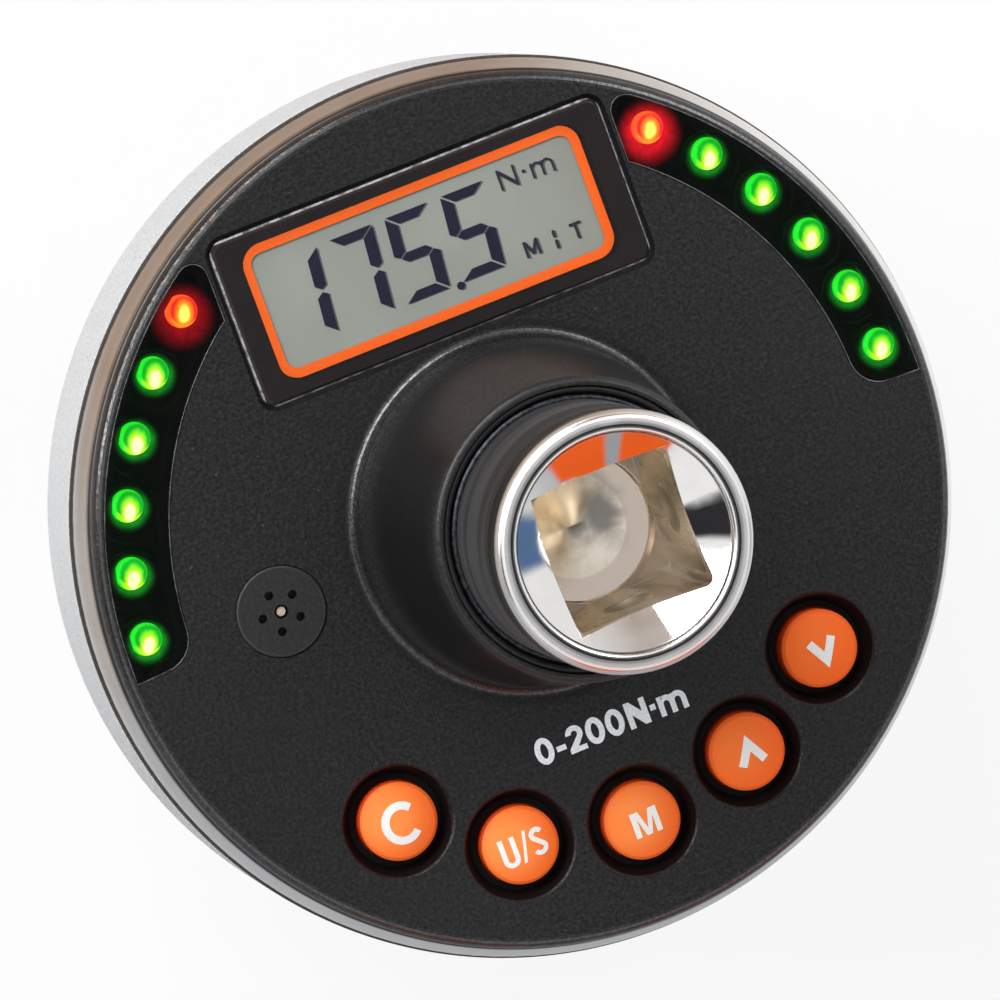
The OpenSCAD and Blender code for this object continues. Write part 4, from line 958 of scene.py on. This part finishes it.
def top_outline(node):
    """The closed loop of points round a node's flat top."""
    bm = bmesh.new()
    bm.from_mesh(NODES[node].data)
    bmesh.ops.remove_doubles(bm, verts=bm.verts[:], dist=1e-6)
    top = max(v.co.z for v in bm.verts)
    flat = {f for f in bm.faces if all(top - v.co.z < 1e-6 for v in f.verts)}
    edges = [e for e in bm.edges if sum(f in flat for f in e.link_faces) == 1]
    after = {}
    for e in edges:
        for v in e.verts:
            after.setdefault(v, []).append(e)
    here, edge = edges[0].verts[0], edges[0]
    loop = []
    for _ in range(len(edges)):
        loop.append(here.co.copy())
        here = edge.other_vert(here)
        edge = next(e for e in after[here] if e is not edge)
    bm.free()
    return loop


def rim_bead(name, node, half_width, rise):
    """A fine raised bead just inside the outline of a node's top."""
    loop = top_outline(node)
    n = len(loop)
    area = sum(loop[i].x * loop[(i + 1) % n].y - loop[(i + 1) % n].x * loop[i].y for i in range(n))
    inward = 1 if area > 0 else -1
    section = [(-1, -0.5), (-1, 0.2), (-0.5, 1), (0.5, 1), (1, 0.2), (1, -0.5)]
    bm = bmesh.new()
    rings = []
    for i, p in enumerate(loop):
        tangent = loop[(i + 1) % n] - loop[i - 1]
        normal = Vector((-tangent.y, tangent.x, 0)).normalized() * inward
        middle = p + normal * half_width * 1.1
        rings.append([bm.verts.new(middle + normal * half_width * a + Vector((0, 0, rise * b))) for a, b in section])
    for i in range(n):
        low, high = rings[i], rings[(i + 1) % n]
        for k in range(len(section)):
            j = (k + 1) % len(section)
            bm.faces.new((low[k], high[k], high[j], low[j])).smooth = True
    bmesh.ops.recalc_face_normals(bm, faces=bm.faces[:])
    return piece(name, bm, BEAD, "gauge")


for side in ("left", "right"):
    rim_bead(side + "_light_rim", side + "_light_window", 0.06 * MM, 0.035 * MM)


# ---------------------------------------------------------------- studio

def around(s, x, y):
    """What metal mirrors near the horizon: tan on the left, grey in front, white on the right."""
    angle = s.math("DIVIDE", s.math("ADD", s.math("ARCTAN2", y, x), math.pi), 2 * math.pi)
    tan, grey, white = (0.31, 0.185, 0.105), (0.36, 0.375, 0.40), (0.94, 0.93, 0.92)
    pale = (0.41, 0.35, 0.31)
    return s.ramp(angle, [(0.0, pale), (0.05, (0.38, 0.38, 0.39)), (0.09, grey), (0.30, grey), (0.44, white),
                          (0.57, white), (0.68, tan), (0.885, tan), (0.955, pale)])


def close_by(s, x, y):
    """The floor right under the ring's edge."""
    angle = s.math("DIVIDE", s.math("ADD", s.math("ARCTAN2", y, x), math.pi), 2 * math.pi)
    tan, grey, white = (0.33, 0.21, 0.125), (0.41, 0.425, 0.45), (0.95, 0.94, 0.93)
    return s.ramp(angle, [(0.0, (0.50, 0.53, 0.57)), (0.10, grey), (0.32, grey), (0.44, white), (0.57, white),
                          (0.68, tan), (0.86, tan), (0.95, (0.48, 0.51, 0.55))])


def stage_floor():
    bm = bmesh.new()
    bmesh.ops.create_circle(bm, cap_ends=True, segments=96, radius=4.0)
    mesh = bpy.data.meshes.new("floor")
    bm.to_mesh(mesh)
    bm.free()
    obj = bpy.data.objects.new("floor", mesh)
    obj.location.z = -0.2 * MM
    bpy.context.scene.collection.objects.link(obj)
    s = Shader("floor_pale")
    paths = s.add("ShaderNodeLightPath")
    seen = s.math("MAXIMUM", paths.outputs["Is Camera Ray"],
                  s.math("MAXIMUM", paths.outputs["Is Glossy Ray"], paths.outputs["Is Transmission Ray"]))
    grain = s.noise(220, 3.0, 0.6)
    card = s.add("ShaderNodeBsdfDiffuse")
    s.put(card.inputs["Color"], s.mix(grain, (0.80, 0.80, 0.80), (0.84, 0.84, 0.84)))
    x, y, z = s.xyz()
    far = s.steps(s.radius(), 0.055, 0.095)
    mirrored = s.mix(far, close_by(s, x, y), around(s, x, y))
    white = s.add("ShaderNodeEmission")
    s.put(white.inputs["Color"], s.mix(paths.outputs["Is Glossy Ray"], (1, 1, 1), mirrored))
    white.inputs["Strength"].default_value = 1.0
    mesh.materials.append(s.finish(s.shader_mix(s.math("MULTIPLY", seen, 0.84), card.outputs[0], white.outputs[0])))


def world_light():
    """Even soft light; what metal mirrors is brighter above, tan to the left and has a dark middle."""
    world = bpy.data.worlds.new("studio")
    bpy.context.scene.world = world
    world.use_nodes = True
    s = Shader.__new__(Shader)
    s.tree = world.node_tree
    s.tree.nodes.clear()
    out = s.add("ShaderNodeOutputWorld")
    split = s.add("ShaderNodeSeparateXYZ")
    way = s.add("ShaderNodeTexCoord").outputs["Generated"]
    s.put(split.inputs[0], way)
    x, y, z = split.outputs

    def patch(direction, near, far):
        dot = s.add("ShaderNodeVectorMath", operation="DOT_PRODUCT")
        s.put(dot.inputs[0], way)
        dot.inputs[1].default_value = Vector(direction).normalized()
        return s.steps(dot.outputs["Value"], math.cos(math.radians(far)), math.cos(math.radians(near)))

    side = s.math("MINIMUM", s.math("SUBTRACT", s.math("MULTIPLY", x, 0.55), s.math("MULTIPLY", y, 0.83)), 0.0)
    height = s.math("ADD", z, s.math("MULTIPLY", side, 0.26))
    color = s.mix(s.steps(height, 0.28, 0.42), around(s, x, y), (0.98, 0.98, 0.98))
    color = s.mix(patch((-0.828, -0.033, 0.518), 10, 16), color, (0.03, 0.03, 0.035))
    color = s.mix(patch((0.886, -0.411, 0.123), 8, 15), color, (0.10, 0.18, 0.34))
    color = s.mix(patch((0.297, -0.929, 0.171), 12, 16), color, (0.92, 0.13, 0.02))
    color = s.mix(patch((-0.293, -0.905, 0.308), 11, 15), color, (0.92, 0.13, 0.02))
    color = s.mix(patch((0.187, -0.148, 0.971), 10, 32), color, (0.035, 0.035, 0.04))
    paths = s.add("ShaderNodeLightPath")
    layers = []
    for value, strength in (((1, 0.998, 0.99), 0.46), (color, 1.0), ((1, 1, 1), 1.0)):
        node = s.add("ShaderNodeBackground")
        s.put(node.inputs["Color"], value)
        node.inputs["Strength"].default_value = strength
        layers.append(node.outputs[0])
    seen = s.shader_mix(paths.outputs["Is Glossy Ray"], layers[0], layers[1])
    s.put(out.inputs["Surface"], s.shader_mix(paths.outputs["Is Camera Ray"], seen, layers[2]))


def softbox(name, place, target, width, height, watts, color=(1, 1, 1)):
    data = bpy.data.lights.new(name, "AREA")
    data.shape = "RECTANGLE"
    data.size = width
    data.size_y = height
    data.energy = watts
    data.color = color
    obj = bpy.data.objects.new(name, data)
    bpy.context.scene.collection.objects.link(obj)
    obj.location = place
    obj.rotation_euler = (Vector(target) - Vector(place)).to_track_quat("-Z", "Y").to_euler()
    return obj


def camera():
    data = bpy.data.cameras.new("camera")
    data.sensor_width = 36
    data.lens = 253.5
    data.clip_start = 0.01
    data.clip_end = 20
    obj = bpy.data.objects.new("camera", data)
    bpy.context.scene.collection.objects.link(obj)
    back = Vector((-0.1869, 0.1483, 0.9711)).normalized()
    up = Vector((0.3675, 0.9273, -0.0708))
    right = up.cross(back).normalized()
    up = back.cross(right)
    turn = Matrix((right, up, back)).transposed().to_4x4()
    obj.matrix_world = Matrix.Translation((-0.1213, 0.0966, 0.6586)) @ turn
    bpy.context.scene.camera = obj


bpy.context.scene.view_settings.view_transform = "Standard"
stage_floor()
world_light()
TARGET = (0, 0, 0.04)
softbox("key_light", (-0.46, 0.74, 0.64), TARGET, 1.25, 0.26, 13.2, (1, 0.995, 0.985))
softbox("fill_light", (0.75, 0.45, 0.75), TARGET, 0.35, 0.50, 2.2, (0.98, 0.98, 1))
softbox("front_light", (0.10, -0.80, 0.60), TARGET, 0.60, 0.45, 2.0).visible_glossy = False
camera()
